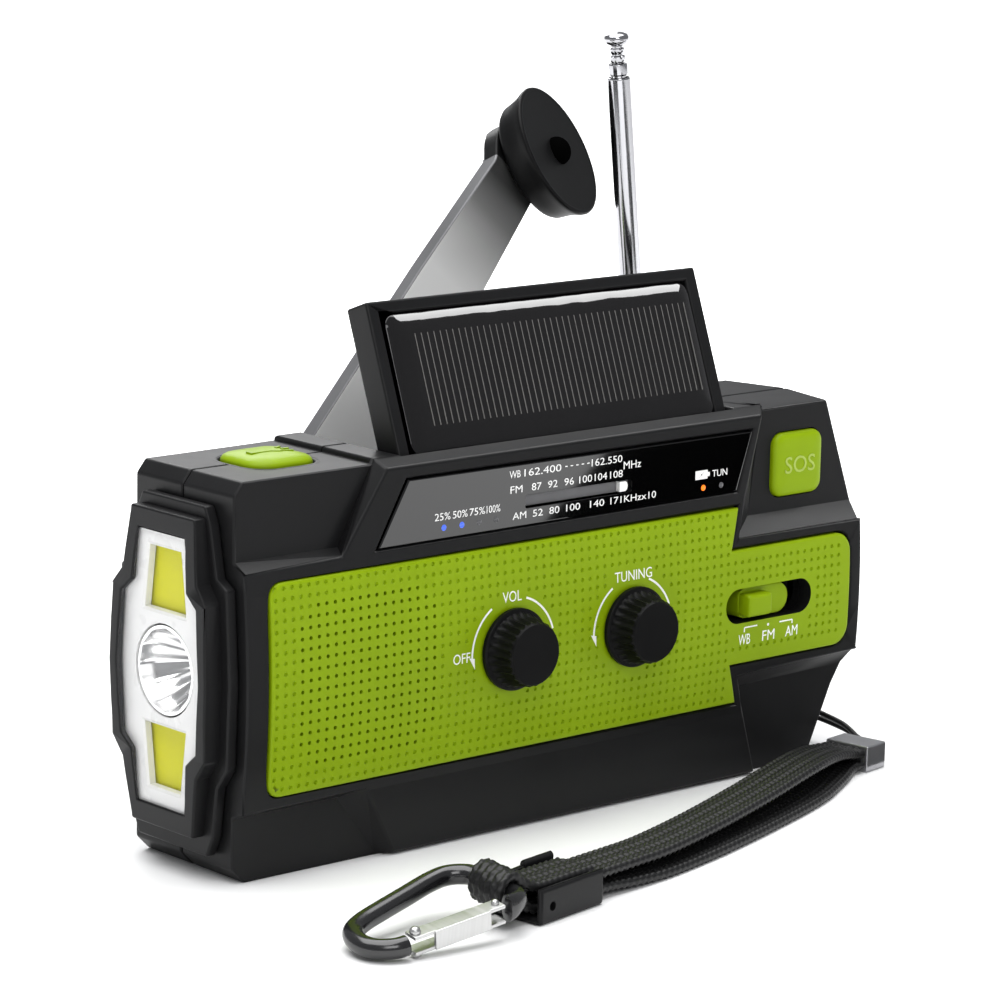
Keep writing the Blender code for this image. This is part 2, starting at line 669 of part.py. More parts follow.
# ---------------------------------------------------------------- crank
def crank_frame():
    """Directions of the crank: along the arm, along the fold pin, along the bent tip, the knob's axis."""
    along = Vector((math.cos(CRANK_TURN), 0, math.sin(CRANK_TURN)))
    pin = Vector((-math.sin(CRANK_TURN), 0, math.cos(CRANK_TURN)))
    back = Vector((0, 1, 0))
    tip = along * math.cos(CRANK_TIP_BEND) + back * math.sin(CRANK_TIP_BEND)
    knob = along * math.sin(CRANK_TIP_BEND) - back * math.cos(CRANK_TIP_BEND)
    return along, pin, tip, knob


def make_crank_arm(black):
    """A flat tapered bar whose last part leans back, with a forked root round the fold pin."""
    along, pin, tip, knob = crank_frame()
    back = Vector((0, 1, 0))
    root = Vector((CRANK[0], CRANK_FRONT, CRANK[1]))
    bend = root + along * CRANK_REACH
    stations = [(root - along * 1.0, 10.4, 10.4, back), (root + along * 20, 9.9, 9.9, back),
                (root + along * 60, 8.6, 8.6, back), (bend - along * 0.9, 7.0, 7.0, back)]
    middle = (back - knob).normalized()
    stations.append((bend + (tip - along) * 0.2, 7.0, 7.2, middle))
    for reach, left, right in ((1.2, 6.9, 7.6), (4.5, 6.8, 8.6), (7.0, 6.6, 8.7), (10.0, 5.8, 8.4), (12.6, 4.0, 7.0),
                               (14.2, 1.2, 4.8)):
        stations.append((bend + tip * reach, left, right, -knob))
    rings = []
    for centre, left, right, depth in stations:
        rings.append([centre - pin * right, centre + pin * left,
                      centre + pin * left + depth * CRANK_THICK, centre - pin * right + depth * CRANK_THICK])
    arm = loft("crank_arm", rings, black)
    pivot = Vector((CRANK[0], PIN_Y, CRANK[1]))
    for side in (-1, 1):
        start = pivot + pin * (4.3 if side > 0 else -10.4)
        join(arm, cylinder(f"arm_ear_{side}", start, pin, 2.4, 6.1, black, 16))
    notch = [pivot + along * a + pin * b for a, b in ((-8, -4.3), (7.0, -4.3), (7.0, 4.3), (-8, 4.3))]
    rings = [[point + back * level for point in notch] for level in (-8, 8)]
    cut(arm, loft("arm_fork", rings, None))
    cut(arm, cylinder("arm_pin_hole", pivot - pin * 15, pin, 1.3, 30, None, 12))
    seat = bend + tip * CRANK_TIP - pin * CRANK_KNOB_SIDE
    cut(arm, cylinder("arm_tip_hole", seat - knob * 8, knob, 1.6, 16, None, 14))
    set_origin(arm, pivot)
    return arm


def make_crank():
    black = shell_black("crank_plastic")
    steel = material("pin_steel", (0.5, 0.5, 0.5), 0.3, 1.0)
    along, pin, tip, knob = crank_frame()
    pivot = Vector((CRANK[0], PIN_Y, CRANK[1]))
    hub = cylinder("crank_hub", (CRANK[0], 25.4, CRANK[1]), (0, 1, 0), 9.5, 3.8, black, 32)
    lug = cylinder("hub_lug", pivot - pin * 4.0, pin, 3.3, 8.0, black, 20)
    neck = [pivot + along * a + pin * b for a, b in ((-3.3, -4), (3.3, -4), (3.3, 4), (-3.3, 4))]
    rings = [[Vector((p.x, y, p.z)) for p in neck] for y in (28.0, PIN_Y)]
    shaft = cylinder("crank_shaft", (CRANK[0], 5.0, CRANK[1]), (0, 1, 0), 2.3, 22.6, black, 16)
    join(hub, lug, loft("hub_neck", rings, black), shaft)
    cut(hub, cylinder("hub_pin_hole", pivot - pin * 15, pin, 1.3, 30, None, 12))
    set_origin(hub, (CRANK[0], 25.4, CRANK[1]))
    fold_pin = cylinder("crank_fold_pin", pivot - pin * 10.2, pin, 1.0, 20.4, steel, 12)
    arm = make_crank_arm(black)
    root = Vector((CRANK[0], CRANK_FRONT, CRANK[1]))
    seat = root + along * CRANK_REACH + tip * CRANK_TIP - pin * CRANK_KNOB_SIDE
    grip_profile = [(11.8, 0.4), (12.6, 1.2), (13.4, 3.8), (14.3, 6.4), (14.4, 7.0), (14.1, 7.4)]
    grip = turned("crank_knob", seat, knob, grip_profile, black, 40)
    cut(grip, cylinder("knob_bore", seat - knob * 2, knob, 1.6, 14, None, 16))
    cut(grip, cylinder("knob_pin_head_hole", seat + knob * 5.2, knob, 2.8, 4, None, 20))
    set_origin(grip, seat)
    pin_profile = [(1.3, -CRANK_THICK), (1.3, 5.5), (2.5, 5.5), (2.5, 7.2)]
    knob_pin = turned("crank_knob_pin", seat, knob, pin_profile, black, 16)
    hub_axis = axis_empty("crank_axis", (CRANK[0], 25.4, CRANK[1]))
    fold_axis = axis_empty("crank_fold_axis", pivot)
    attach(hub_axis, hub, fold_axis)
    attach(fold_axis, arm, fold_pin, grip, knob_pin)
    return hub


# ---------------------------------------------------------------- solar panel
def make_solar_panel():
    """The panel is drawn closed, lying in its recess, and then opened about its front edge."""
    black = shell_black("solar_frame_plastic")
    cell_look = material("solar_cell_dark", (0.012, 0.013, 0.02), 0.08)
    white = material("reading_lamp_white", (0.85, 0.85, 0.82), 0.3)
    y, z = PANEL_AXIS
    half = PANEL_THICK / 2
    profile = [(y + PANEL_REACH, z - half), (y + PANEL_REACH, z + half), (y, z + half)]
    profile += [(y - half * math.sin(math.pi * i / 8), z + half * math.cos(math.pi * i / 8)) for i in range(1, 9)]
    frame = prism("solar_frame", profile, "X", PANEL_LEFT, PANEL_RIGHT, black)
    cell_low = (PANEL_LEFT + 3.0, y + 0.2)
    cell_high = (PANEL_RIGHT - 3.0, y + PANEL_REACH - 2.6)
    cut(frame, box("cell_recess", (*cell_low, z + half - 1.8), (*cell_high, z + 20)))
    lamp_low, lamp_high = (-30.0, y + 14.0), (34.0, y + 24.0)
    cut(frame, box("lamp_recess", (*lamp_low, z - 20), (*lamp_high, z - half + 1.5)))
    for x in (PANEL_LEFT - 2.0, PANEL_RIGHT - 1.0):
        join(frame, cylinder(f"panel_trunnion_{x:.0f}", (x, y, z), (1, 0, 0), 1.4, 3.0, black, 16))
    cell = box("solar_cell", (cell_low[0] + GAP, cell_low[1] + GAP, z + half - 1.5),
               (cell_high[0] - GAP, cell_high[1] - GAP, z + half + 0.2), cell_look)
    lamp = box("reading_lamp", (lamp_low[0] + GAP, lamp_low[1] + GAP, z - half - 0.2),
               (lamp_high[0] - GAP, lamp_high[1] - GAP, z - half + 1.2), white)
    axis = axis_empty("panel_axis", (0, y, z))
    attach(axis, *[bpy.data.objects[name] for name in (
        "solar_frame", "cell_recess", "lamp_recess", "solar_cell", "reading_lamp",
        f"panel_trunnion_{PANEL_LEFT - 2.0:.0f}", f"panel_trunnion_{PANEL_RIGHT - 1.0:.0f}")])
    axis.rotation_euler = (PANEL_OPEN, 0, 0)
    return frame, cell, lamp


# ---------------------------------------------------------------- antenna
def make_antenna():
    """The whip is drawn upright on its pivot and then leaned over."""
    chrome = material("antenna_chrome", (0.85, 0.85, 0.86), 0.08, 1.0)
    x, y, z = ANTENNA
    base = box("antenna_base", (x - 5, BLOCK_FACE + GAP, z - 3.4), (x + 5, 16.5, z + 4.6), chrome)
    join(base, cylinder("antenna_stud", (x, 16.0, z), (0, 1, 0), 1.5, 5.6, chrome, 16))
    knuckle = cylinder("antenna_section_1", (x, 16.9, z), (0, 1, 0), 3.4, 4.2, chrome, 20)
    tube = turned("antenna_tube", (x, y, z), (0, 0, 1), [(2.0, 1.0), (2.1, 5.0), (2.35, 6.0), (2.35, 76.6)],
                  chrome, 20)
    join(knuckle, tube)
    cut(knuckle, cylinder("knuckle_bore", (x, 10, z), (0, 1, 0), 1.8, 20, None, 16))
    cut(knuckle, cylinder("tube_bore_1", (x, y, z + 8.0), (0, 0, 1), 1.95, 90, None, 20))
    middle = turned("antenna_section_2", (x, y, z + 8.4), (0, 0, 1),
                    [(1.65, 0), (1.65, 68.6), (1.95, 68.9), (1.95, 71.0), (1.25, 71.0), (1.25, 0.6)], chrome, 16)
    inner = turned("antenna_section_3", (x, y, z + 9.4), (0, 0, 1),
                   [(0.95, 0), (0.95, 70.4), (1.35, 70.6), (1.35, 72.6), (0.95, 73.0), (0.95, 74.2), (2.1, 74.6),
                    (2.3, 75.4), (1.9, 76.2), (0.8, 76.5)], chrome, 16)
    axis = axis_empty("antenna_axis", ANTENNA)
    names = ("antenna_section_1", "antenna_tube", "knuckle_bore", "tube_bore_1")
    attach(axis, middle, inner, *[bpy.data.objects[name] for name in names])
    axis.rotation_euler = (0, ANTENNA_LEAN, 0)
    return base, knuckle, middle, inner


# ---------------------------------------------------------------- strap
def smooth_route(points, count):
    """Points read evenly along a Catmull-Rom curve through the route's own points."""
    points = [Vector(p) for p in points]
    ends = [points[0] * 2 - points[1]] + points + [points[-1] * 2 - points[-2]]
    dense = []
    for i in range(1, len(ends) - 2):
        a, b, c, d = ends[i - 1:i + 3]
        for k in range(24):
            t = k / 24
            dense.append(0.5 * ((2 * b) + (c - a) * t + (2 * a - 5 * b + 4 * c - d) * t * t
                                + (3 * b - a - 3 * c + d) * t ** 3))
    dense.append(points[-1])
    lengths = [0.0]
    for a, b in zip(dense, dense[1:]):
        lengths.append(lengths[-1] + (b - a).length)
    route, j = [], 0
    for i in range(count):
        goal = lengths[-1] * i / (count - 1)
        while j < len(lengths) - 2 and lengths[j + 1] < goal:
            j += 1
        span = lengths[j + 1] - lengths[j]
        route.append(dense[j].lerp(dense[j + 1], (goal - lengths[j]) / span))
    return route


def make_band(name, route, width, thick, look, count=34):
    """A flat woven band swept along its route, its width kept level."""
    points = smooth_route(route, count)
    rings = []
    for i, point in enumerate(points):
        ahead = points[min(i + 1, count - 1)] - points[max(i - 1, 0)]
        side = ahead.cross(Vector((0, 0, 1))).normalized()
        up = side.cross(ahead).normalized()
        ring = []
        for a, b in ((-1, -0.5), (-0.9, -1), (0.9, -1), (1, -0.5), (1, 0.5), (0.9, 1), (-0.9, 1), (-1, 0.5)):
            ring.append(point + side * a * width / 2 + up * b * thick / 2)
        rings.append(ring)
    return loft(name, rings, look, True)


UPPER_ROUTE = [(70.4, -26.45, 4.1), (66.2, -27.15, 4.6), (58.0, -30.6, 6.0), (45.0, -36.8, 7.0),
               (25.0, -43.8, 6.0), (5.0, -50.2, 5.2), (-12.0, -55.0, 4.8), (-22.0, -57.1, 4.9),
               (-30.4, -58.6, 5.0), (-34.9, -59.4, 5.0)]
LOWER_ROUTE = [(70.4, -26.45, 1.8), (66.2, -27.2, 1.4), (58.0, -32.0, 1.0), (45.0, -38.8, 1.0),
               (25.0, -46.0, 1.0), (5.0, -52.2, 1.0), (-12.0, -56.4, 1.0), (-22.0, -57.9, 1.4),
               (-30.4, -58.7, 2.0), (-34.9, -59.4, 2.2)]


def turned_box(name, centre, turn, size, low, look):
    """A block standing on a level, turned about the vertical."""
    along = Vector((math.cos(turn), math.sin(turn), 0))
    across = Vector((-math.sin(turn), math.cos(turn), 0))
    corners = []
    for a, b in ((-1, -1), (1, -1), (1, 1), (-1, 1)):
        corners.append(Vector((*centre, 0)) + along * a * size[0] / 2 + across * b * size[1] / 2)
    rings = [[Vector((p.x, p.y, level)) for p in corners] for level in (low, low + size[2])]
    return loft(name, rings, look)


def make_curve(name, route, radius, look, resolution=2):
    curve = bpy.data.curves.new(name, "CURVE")
    curve.dimensions = "3D"
    curve.resolution_u = 1
    curve.render_resolution_u = 0
    curve.bevel_depth = radius * MM
    curve.bevel_resolution = resolution
    curve.use_fill_caps = True
    spline = curve.splines.new("POLY")
    spline.points.add(len(route) - 1)
    for point, place in zip(spline.points, route):
        point.co = (*(Vector(place) * MM), 1.0)
    made = bpy.data.objects.new(name, curve)
    curve.materials.append(look)
    bpy.context.collection.objects.link(made)
    return made


CORD_ROUTE = [(78.0, -24.3, 3.4), (79.6, -20.5, 4.6), (80.9, -15.5, 5.8), (81.0, -9.0, 6.8), (80.5, -3.0, 7.6),
              (79.4, 2.8, 8.6), (76.7, 5.7, 10.0), (73.7, 5.8, 10.9), (71.3, 6.6, 10.2), (70.8, 7.0, 9.0),
              (71.3, 7.4, 7.6), (73.4, 7.6, 6.9), (76.4, 6.6, 6.4), (79.2, 3.2, 6.0), (81.6, -3.0, 5.6),
              (82.8, -9.0, 4.8), (83.0, -15.5, 3.8), (81.8, -21.5, 2.6), (78.3, -26.6, 2.1)]


def make_strap():
    cloth = material("strap_cloth", (0.015, 0.015, 0.016), 0.85)
    metal = material("clip_metal", (0.3, 0.3, 0.32), 0.4, 1.0)
    black = shell_black("lock_plastic")
    make_curve("lanyard_cord", smooth_route(CORD_ROUTE, 40), 0.55, cloth)
    turned_box("strap_clip", CLIP, CLIP_TURN, CLIP_SIZE, 0.05, metal)
    make_band("strap_band_upper", UPPER_ROUTE, BAND_WIDTH, BAND_THICK, cloth)
    make_band("strap_band_lower", LOWER_ROUTE, BAND_WIDTH, BAND_THICK, cloth)
    lock = turned_box("strap_lock", LOCK, LOCK_TURN, LOCK_SIZE, 0.05, black)
    along = Vector((math.cos(LOCK_TURN), math.sin(LOCK_TURN), 0))
    across = Vector((-math.sin(LOCK_TURN), math.cos(LOCK_TURN), 0))
    middle = Vector((*LOCK, 0))
    hump_place = middle + along * 5.0 + across * 5.85
    join(lock, turned_box("lock_hump", hump_place.xy, LOCK_TURN, (8.4, 1.3, 3.9), 4.0, black))
    cut(lock, turned_box("lock_channel", LOCK, LOCK_TURN, (24.0, 10.4, 12.0), 1.25, None))
    pin_place = middle - along * 6.0 - across * 9.0 + Vector((0, 0, 3.2))
    cut(lock, cylinder("lock_pin_hole", pin_place, across, 0.9, 5.0, None, 14))


# Carabiner: a bar bent round a D, lying with its far end on the table and its near end in the strap's loop.
# Its own plane is spanned by the direction to its far end and the direction to its gate's side.
CARABINER_END = Vector((-60.2, -63.2, 6.85))
CARABINER_AXIS = Vector((-0.989, 0.013, -0.146)).normalized()
CARABINER_SIDE = Vector((0.0016, -0.9948, -0.0993)).normalized()
BAR = 1.9
BODY_ROUTE = [(2.9, 7.75), (0.9, 7.5), (-1.3, 6.2), (-2.0, 4.2), (-2.0, 0.0), (-2.0, -4.6), (-1.2, -7.8),
              (1.8, -9.9), (6.0, -9.9), (12.6, -8.6), (19.2, -7.3), (24.4, -6.1), (28.1, -4.2), (29.8, -0.6),
              (29.4, 3.0), (26.8, 5.5), (24.0, 6.2)]
GATE_ROUTE = [(4.0, 7.7), (10.0, 7.3), (17.0, 6.8), (23.6, 6.25)]


def carabiner_point(along, across):
    return CARABINER_END + CARABINER_AXIS * along + CARABINER_SIDE * across


def make_carabiner():
    anodised = material("carabiner_black", (0.012, 0.012, 0.013), 0.18, 0.6)
    silver = material("gate_silver", (0.8, 0.8, 0.8), 0.2, 1.0)
    route = [carabiner_point(a, b) for a, b in BODY_ROUTE]
    make_curve("carabiner_body", smooth_route(route, 50), BAR, anodised, 3)
    gate = [carabiner_point(a, b) for a, b in GATE_ROUTE]
    make_curve("carabiner_gate", smooth_route(gate, 5), BAR, silver, 3)


def make_strap_loop():
    """Webbing out of the lock, over and round the carabiner's end bar, and back into the lock."""
    cloth = bpy.data.materials["strap_cloth"]
    roll = carabiner_point(-2.0, -0.2)
    heading = Vector((math.cos(LOCK_TURN), math.sin(LOCK_TURN), 0))
    level = Vector((-math.sin(LOCK_TURN), math.cos(LOCK_TURN), 0))
    up = Vector((0, 0, 1))
    sideways = level * (Vector((*LOCK, 0)) - roll).dot(level)
    # Each point is (along the lock, up) from the bar, and how far it belongs to the roll round the bar.
    outline = [(22.4, -0.9, 0), (15.0, -0.8, 0), (8.0, -0.7, 0), (5.6, -0.35, 0.2), (3.9, 0.8, 0.7)]
    for i in range(14):
        angle = math.radians(38 + 20 * i)
        outline.append((3.1 * math.cos(angle), 3.1 * math.sin(angle), 1))
    outline += [(3.9, -3.5, 0.7), (6.0, -4.6, 0.2), (9.0, -4.85, 0), (15.0, -4.85, 0)]
    rings = []
    for i, (a, b, wrapped) in enumerate(outline):
        before, after = outline[max(i - 1, 0)], outline[min(i + 1, len(outline) - 1)]
        tangent = (heading * (after[0] - before[0]) + up * (after[1] - before[1])).normalized()
        across = level.lerp(-CARABINER_SIDE, wrapped)
        normal = across.cross(tangent).normalized()
        point = roll + heading * a + up * b + sideways * (1 - wrapped)
        rings.append([point + across * p * 4.7 + normal * q * 0.7 for p, q in ((-1, -1), (1, -1), (1, 1), (-1, 1))])
    loft("strap_loop", rings, cloth)


def main():
    for old in list(bpy.data.objects):
        bpy.data.objects.remove(old, do_unlink=True)
    make_front_cover()
    make_rear_cover()
    make_grille()
    make_window()
    make_pointer()
    for name, x in (("volume", VOLUME_X), ("tuning", TUNING_X)):
        make_knob(f"{name}_knob", x)
        make_knob_shaft(f"{name}_shaft", x)
    make_volume_control()
    make_tuning_capacitor()
    make_slider()
    make_band_switch()
    make_sos_button()
    make_torch_button()
    make_torch_bezel()
    make_torch_lens()
    make_reflector_plate()
    make_torch_cup()
    make_torch_led()
    make_cob_leds()
    make_speaker()
    make_main_board()
    make_battery()
    make_siren()
    make_ferrite_rod()
    make_usb_socket()
    make_port_cover()
    make_screws()
    make_generator()
    make_crank()
    make_solar_panel()
    make_antenna()
    make_strap()
    make_strap_loop()
    make_carabiner()


main()
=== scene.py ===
"""Emergency radio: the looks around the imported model, with its strap, carabiner and controls in detail."""
import math

import bmesh
import bpy
from mathutils import Matrix, Vector
from mathutils.geometry import delaunay_2d_cdt


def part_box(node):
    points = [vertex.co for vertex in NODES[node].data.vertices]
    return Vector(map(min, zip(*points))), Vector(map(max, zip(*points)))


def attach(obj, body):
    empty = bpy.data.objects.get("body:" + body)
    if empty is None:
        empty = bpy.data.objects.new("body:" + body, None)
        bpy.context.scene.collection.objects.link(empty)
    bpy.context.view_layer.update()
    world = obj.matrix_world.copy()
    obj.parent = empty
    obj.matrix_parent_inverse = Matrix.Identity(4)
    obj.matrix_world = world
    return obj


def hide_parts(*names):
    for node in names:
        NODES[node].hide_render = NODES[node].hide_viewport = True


MM = 0.001
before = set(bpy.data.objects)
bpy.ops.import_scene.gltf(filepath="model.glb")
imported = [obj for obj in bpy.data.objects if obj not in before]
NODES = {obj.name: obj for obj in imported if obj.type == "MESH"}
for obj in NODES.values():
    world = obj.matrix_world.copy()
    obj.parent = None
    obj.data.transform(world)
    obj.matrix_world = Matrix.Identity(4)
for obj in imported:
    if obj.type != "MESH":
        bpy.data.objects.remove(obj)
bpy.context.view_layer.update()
SCENE = bpy.context.scene
SCENE.view_settings.view_transform = "Standard"
SCENE.view_settings.look = "None"

# Layout shared with the CAD, in millimetres
BELT_FACE, BELT_LOW, BELT_HIGH, BELT_BULGE = 18.0, 14.0, 60.0, 1.4
GRILLE_LIFT = 0.4
KNOB_Z, KNOB_BASE_Y = 37.0, -20.1
VOLUME_X, TUNING_X = -16.9, 15.0
SLOT = (53.2, 36.9)
SLOT_SIZE = (24.5, 7.2)
SOS, SOS_SIZE = (64.3, 63.8), (14.0, 13.2)
TORCH_BUTTON, TORCH_BUTTON_SIZE, DECK = (-62.0, 0.0), (15.0, 15.0), 76.0
POINTER = (13.4, 65.05)
WINDOW_FACE, WINDOW_BACK, GRILLE_BACK = -18.1, -16.8, -16.7
REAR_FACE, HOUSING_FACE = 14.8, 24.8
TORCH_Z, CUP_BASE, CUP_DEPTH = 38.8, -85.4, 9.0
PANEL_AXIS = Vector((0, -11.5, 73.7))
PANEL_LEFT, PANEL_RIGHT, PANEL_THICK, PANEL_REACH = -41.1, 45.2, 6.3, 31.7
PANEL_OPEN = math.radians(69.5)
ANTENNA, ANTENNA_LEAN = Vector((52.4, 19.0, 65.0)), math.radians(-6.4)
CRANK, CRANK_TURN, CRANK_FRONT = (-29.5, 52.0), math.radians(50.4), 31.0
CRANK_THICK, CRANK_REACH, CRANK_TIP, CRANK_BEND, CRANK_SIDE = 3.6, 88.6, 8.0, math.radians(37.0), 5.0
LOCK, LOCK_TURN = (-44.8, -61.2), math.radians(10.2)
BAND_WIDTH, BAND_THICK = 10.4, 1.5


# ---- camera
CAMERA_PLACE, CAMERA_ANGLES = (-520.3, -582.5, 216.5), (41.60, 11.27, 1.10)  # yaw, downward pitch, roll
CAMERA_LENS = 144.4927


def make_camera():
    yaw, pitch, roll = (math.radians(angle) for angle in CAMERA_ANGLES)
    right = Vector((math.cos(yaw), -math.sin(yaw), 0))
    ahead = Vector((math.sin(yaw) * math.cos(pitch), math.cos(yaw) * math.cos(pitch), -math.sin(pitch)))
    up = right.cross(ahead)
    side = right * math.cos(roll) + up * math.sin(roll)
    top = up * math.cos(roll) - right * math.sin(roll)
    camera = bpy.data.objects.new("camera", bpy.data.cameras.new("camera"))
    turn = Matrix((side, top, -ahead)).transposed().to_4x4()
    camera.matrix_world = Matrix.Translation(Vector(CAMERA_PLACE) * MM) @ turn
    camera.data.sensor_width = 36.0
    camera.data.lens = CAMERA_LENS
    camera.data.clip_start, camera.data.clip_end = 0.05, 20.0
    SCENE.collection.objects.link(camera)
    SCENE.camera = camera


make_camera()


# ---- materials
def blank(name):
    made = bpy.data.materials.new(name)
    made.use_nodes = True
    return made, made.node_tree.nodes, made.node_tree.links, made.node_tree.nodes["Principled BSDF"]


def noise(nodes, links, scale, coords, **settings):
    made = nodes.new("ShaderNodeTexNoise")
    for key, value in settings.items():
        made.inputs[key].default_value = value
    made.inputs["Scale"].default_value = scale
    links.new(coords, made.inputs["Vector"])
    return made.outputs["Fac"]


def ramped(nodes, links, shader, stops):
    """A ramp of (place, colour) stops into the base colour; returns the socket that drives it."""
    ramp = nodes.new("ShaderNodeValToRGB")
    elements = ramp.color_ramp.elements
    elements[0].position, elements[1].position = stops[0][0], stops[-1][0]
    for place, _ in stops[1:-1]:
        elements.new(place)
    for stop, (_, colour) in zip(elements, stops):
        stop.color = (*(min(1.0, part) for part in colour), 1.0)
    links.new(ramp.outputs["Color"], shader.inputs["Base Color"])
    return ramp.inputs["Fac"]


def ranged(nodes, links, value, socket, low, high, start=0.0, end=1.0):
    """A value mapped from start..end to low..high, into a shader's socket."""
    span = nodes.new("ShaderNodeMapRange")
    for key, limit in (("From Min", start), ("From Max", end), ("To Min", low), ("To Max", high)):
        span.inputs[key].default_value = limit
    links.new(value, span.inputs["Value"])
    links.new(span.outputs["Result"], socket)


def embossed(nodes, links, height, shader, strength, relief):
    bump = nodes.new("ShaderNodeBump")
    bump.inputs["Strength"].default_value = strength
    bump.inputs["Distance"].default_value = relief * MM
    links.new(height, bump.inputs["Height"])
    links.new(bump.outputs["Normal"], shader.inputs["Normal"])


def finish_of(name, colour, rough, grain=1400.0, relief=0.012, spread=0.12, rough_spread=0.07, blotch=55.0,
              shine=0.5, **sockets):
    """A moulded or painted surface: uneven colour and gloss, and a fine grain in relief (in mm)."""
    made, nodes, links, shader = blank(name)
    coords = nodes.new("ShaderNodeTexCoord").outputs["Object"]
    clouds = noise(nodes, links, blotch, coords, Detail=4.0, Roughness=0.6)
    dark, light = ([part * share for part in colour] for share in (1 - spread, 1 + spread))
    links.new(clouds, ramped(nodes, links, shader, ((0.3, dark), (0.7, light))))
    ranged(nodes, links, clouds, shader.inputs["Roughness"], max(0.02, rough - rough_spread),
           min(1.0, rough + rough_spread))
    if relief:
        embossed(nodes, links, noise(nodes, links, grain, coords, Detail=2.0), shader, 0.6, relief)
    shader.inputs["Specular IOR Level"].default_value = shine
    for key, value in sockets.items():
        shader.inputs[key.replace("_", " ")].default_value = value
    return made


def lamp_of(name, colour, glow, strength):
    return finish_of(name, colour, 0.2, relief=0.0, spread=0.05, Emission_Color=(*glow, 1.0),
                     Emission_Strength=strength)


def brushed(name, colour, rough, stretch=(60, 60, 2500), relief=0.004):
    """Drawn or rolled metal, with fine lines along one direction."""
    made, nodes, links, shader = blank(name)
    coords = nodes.new("ShaderNodeTexCoord").outputs["Object"]
    mapping = nodes.new("ShaderNodeMapping")
    mapping.inputs["Scale"].default_value = stretch
    links.new(coords, mapping.inputs["Vector"])
    lines = noise(nodes, links, 1.0, mapping.outputs["Vector"], Detail=3.0)
    ranged(nodes, links, lines, shader.inputs["Roughness"], max(0.03, rough * 0.6), rough * 1.5)
    dark, light = ([part * share for part in colour] for share in (0.86, 1.1))
    links.new(lines, ramped(nodes, links, shader, ((0.0, dark), (1.0, light))))
    embossed(nodes, links, lines, shader, 0.4, relief)
    shader.inputs["Metallic"].default_value = 1.0
    return made


SHELL = finish_of("shell_black", (0.0075, 0.0075, 0.008), 0.40, relief=0.016, shine=0.18)
KNOB = finish_of("knob_black", (0.005, 0.005, 0.0052), 0.36, relief=0.01, shine=0.09)
PIN_BLACK = finish_of("pin_black", (0.0012, 0.0012, 0.0012), 0.8, relief=0.0, shine=0.0)
GREEN = finish_of("green_plastic", (0.222, 0.335, 0.002), 0.38, relief=0.014, spread=0.04, shine=0.12)
GLOSS = finish_of("window_gloss", (0.0005, 0.0005, 0.0006), 0.04, relief=0.0, rough_spread=0.01, shine=0.8)
CELL = finish_of("solar_cell", (0.006, 0.0056, 0.006), 0.05, grain=70.0, relief=0.45, blotch=30.0,
                 rough_spread=0.015, shine=0.45)
FINGER = finish_of("solar_finger", (0.13, 0.125, 0.12), 0.3, relief=0.0)
WHITE = finish_of("white_plastic", (0.74, 0.74, 0.735), 0.28, relief=0.004, spread=0.02)
INK = finish_of("print_white", (0.86, 0.86, 0.85), 0.45, relief=0.003, spread=0.03)
TRACK = finish_of("track_grey", (0.12, 0.12, 0.125), 0.3, relief=0.0)
POINTER_WHITE = finish_of("pointer_white", (0.9, 0.9, 0.88), 0.4, relief=0.003, spread=0.02)
CHROME = finish_of("cup_chrome", (0.88, 0.88, 0.88), 0.16, relief=0.0, spread=0.03, rough_spread=0.03,
                   Metallic=1.0)
# A lighter copy of the button's green for the raised SOS letters: a painted highlight.
LETTER_GREEN_PAINTED_HIGHLIGHT = finish_of("letter_green_painted_highlight", (0.36, 0.47, 0.075), 0.3, relief=0.0, spread=0.03)
ANTENNA_CHROME = brushed("antenna_chrome", (0.44, 0.44, 0.46), 0.13, (900, 900, 30), 0.001)
STEEL = brushed("steel", (0.55, 0.55, 0.56), 0.28)
YELLOW = finish_of("led_yellow", (0.60, 0.585, 0.0), 0.38, grain=2200.0, relief=0.03, spread=0.05, shine=0.15)
RUBBER = finish_of("cover_rubber", (0.014, 0.014, 0.0145), 0.62, relief=0.02, shine=0.3)
PAPER = finish_of("cone_black", (0.012, 0.012, 0.012), 0.85, grain=900.0, relief=0.04)
BOARD = finish_of("board_green", (0.02, 0.16, 0.06), 0.38, grain=500.0, relief=0.02)
WRAP = finish_of("battery_wrap", (0.05, 0.16, 0.4), 0.3, relief=0.004)
FERRITE = finish_of("ferrite_grey", (0.09, 0.08, 0.08), 0.6, relief=0.02)
GEAR = finish_of("gear_plastic", (0.8, 0.8, 0.75), 0.45, relief=0.006)
CLIP_GREY = finish_of("clip_metal", (0.36, 0.36, 0.375), 0.34, grain=1100.0, relief=0.006, Metallic=0.85)
ANODISED = finish_of("carabiner_black", (0.010, 0.010, 0.0108), 0.20, relief=0.003, blotch=120.0, shine=0.75)
SILVER = brushed("gate_silver", (0.58, 0.58, 0.575), 0.34, (1800, 40, 40), 0.002)
LIT_BLUE = lamp_of("led_lit_blue", (0.02, 0.05, 0.35), (0.09, 0.17, 0.80), 0.9)
LIT_ORANGE = lamp_of("led_lit_orange", (0.5, 0.1, 0.0), (1.0, 0.17, 0.004), 1.3)
UNLIT = finish_of("led_unlit", (0.09, 0.09, 0.095), 0.25, relief=0.0)


def cloth_look():
    """Black nylon yarn: slightly uneven, with a soft sheen and a fuzz of fibres."""
    return finish_of("strap_cloth", (0.0055, 0.0055, 0.0057), 0.46, grain=2600.0, relief=0.03, spread=0.35,
                     blotch=900.0, shine=0.35, Sheen_Weight=0.03, Sheen_Roughness=0.4)


def lens_look():
    made = finish_of("lens_clear", (0.5, 0.5, 0.51), 0.03, relief=0.0, spread=0.01, rough_spread=0.01,
                     Alpha=0.03, shine=0.2)
    made.surface_render_method = "BLENDED"
    return made


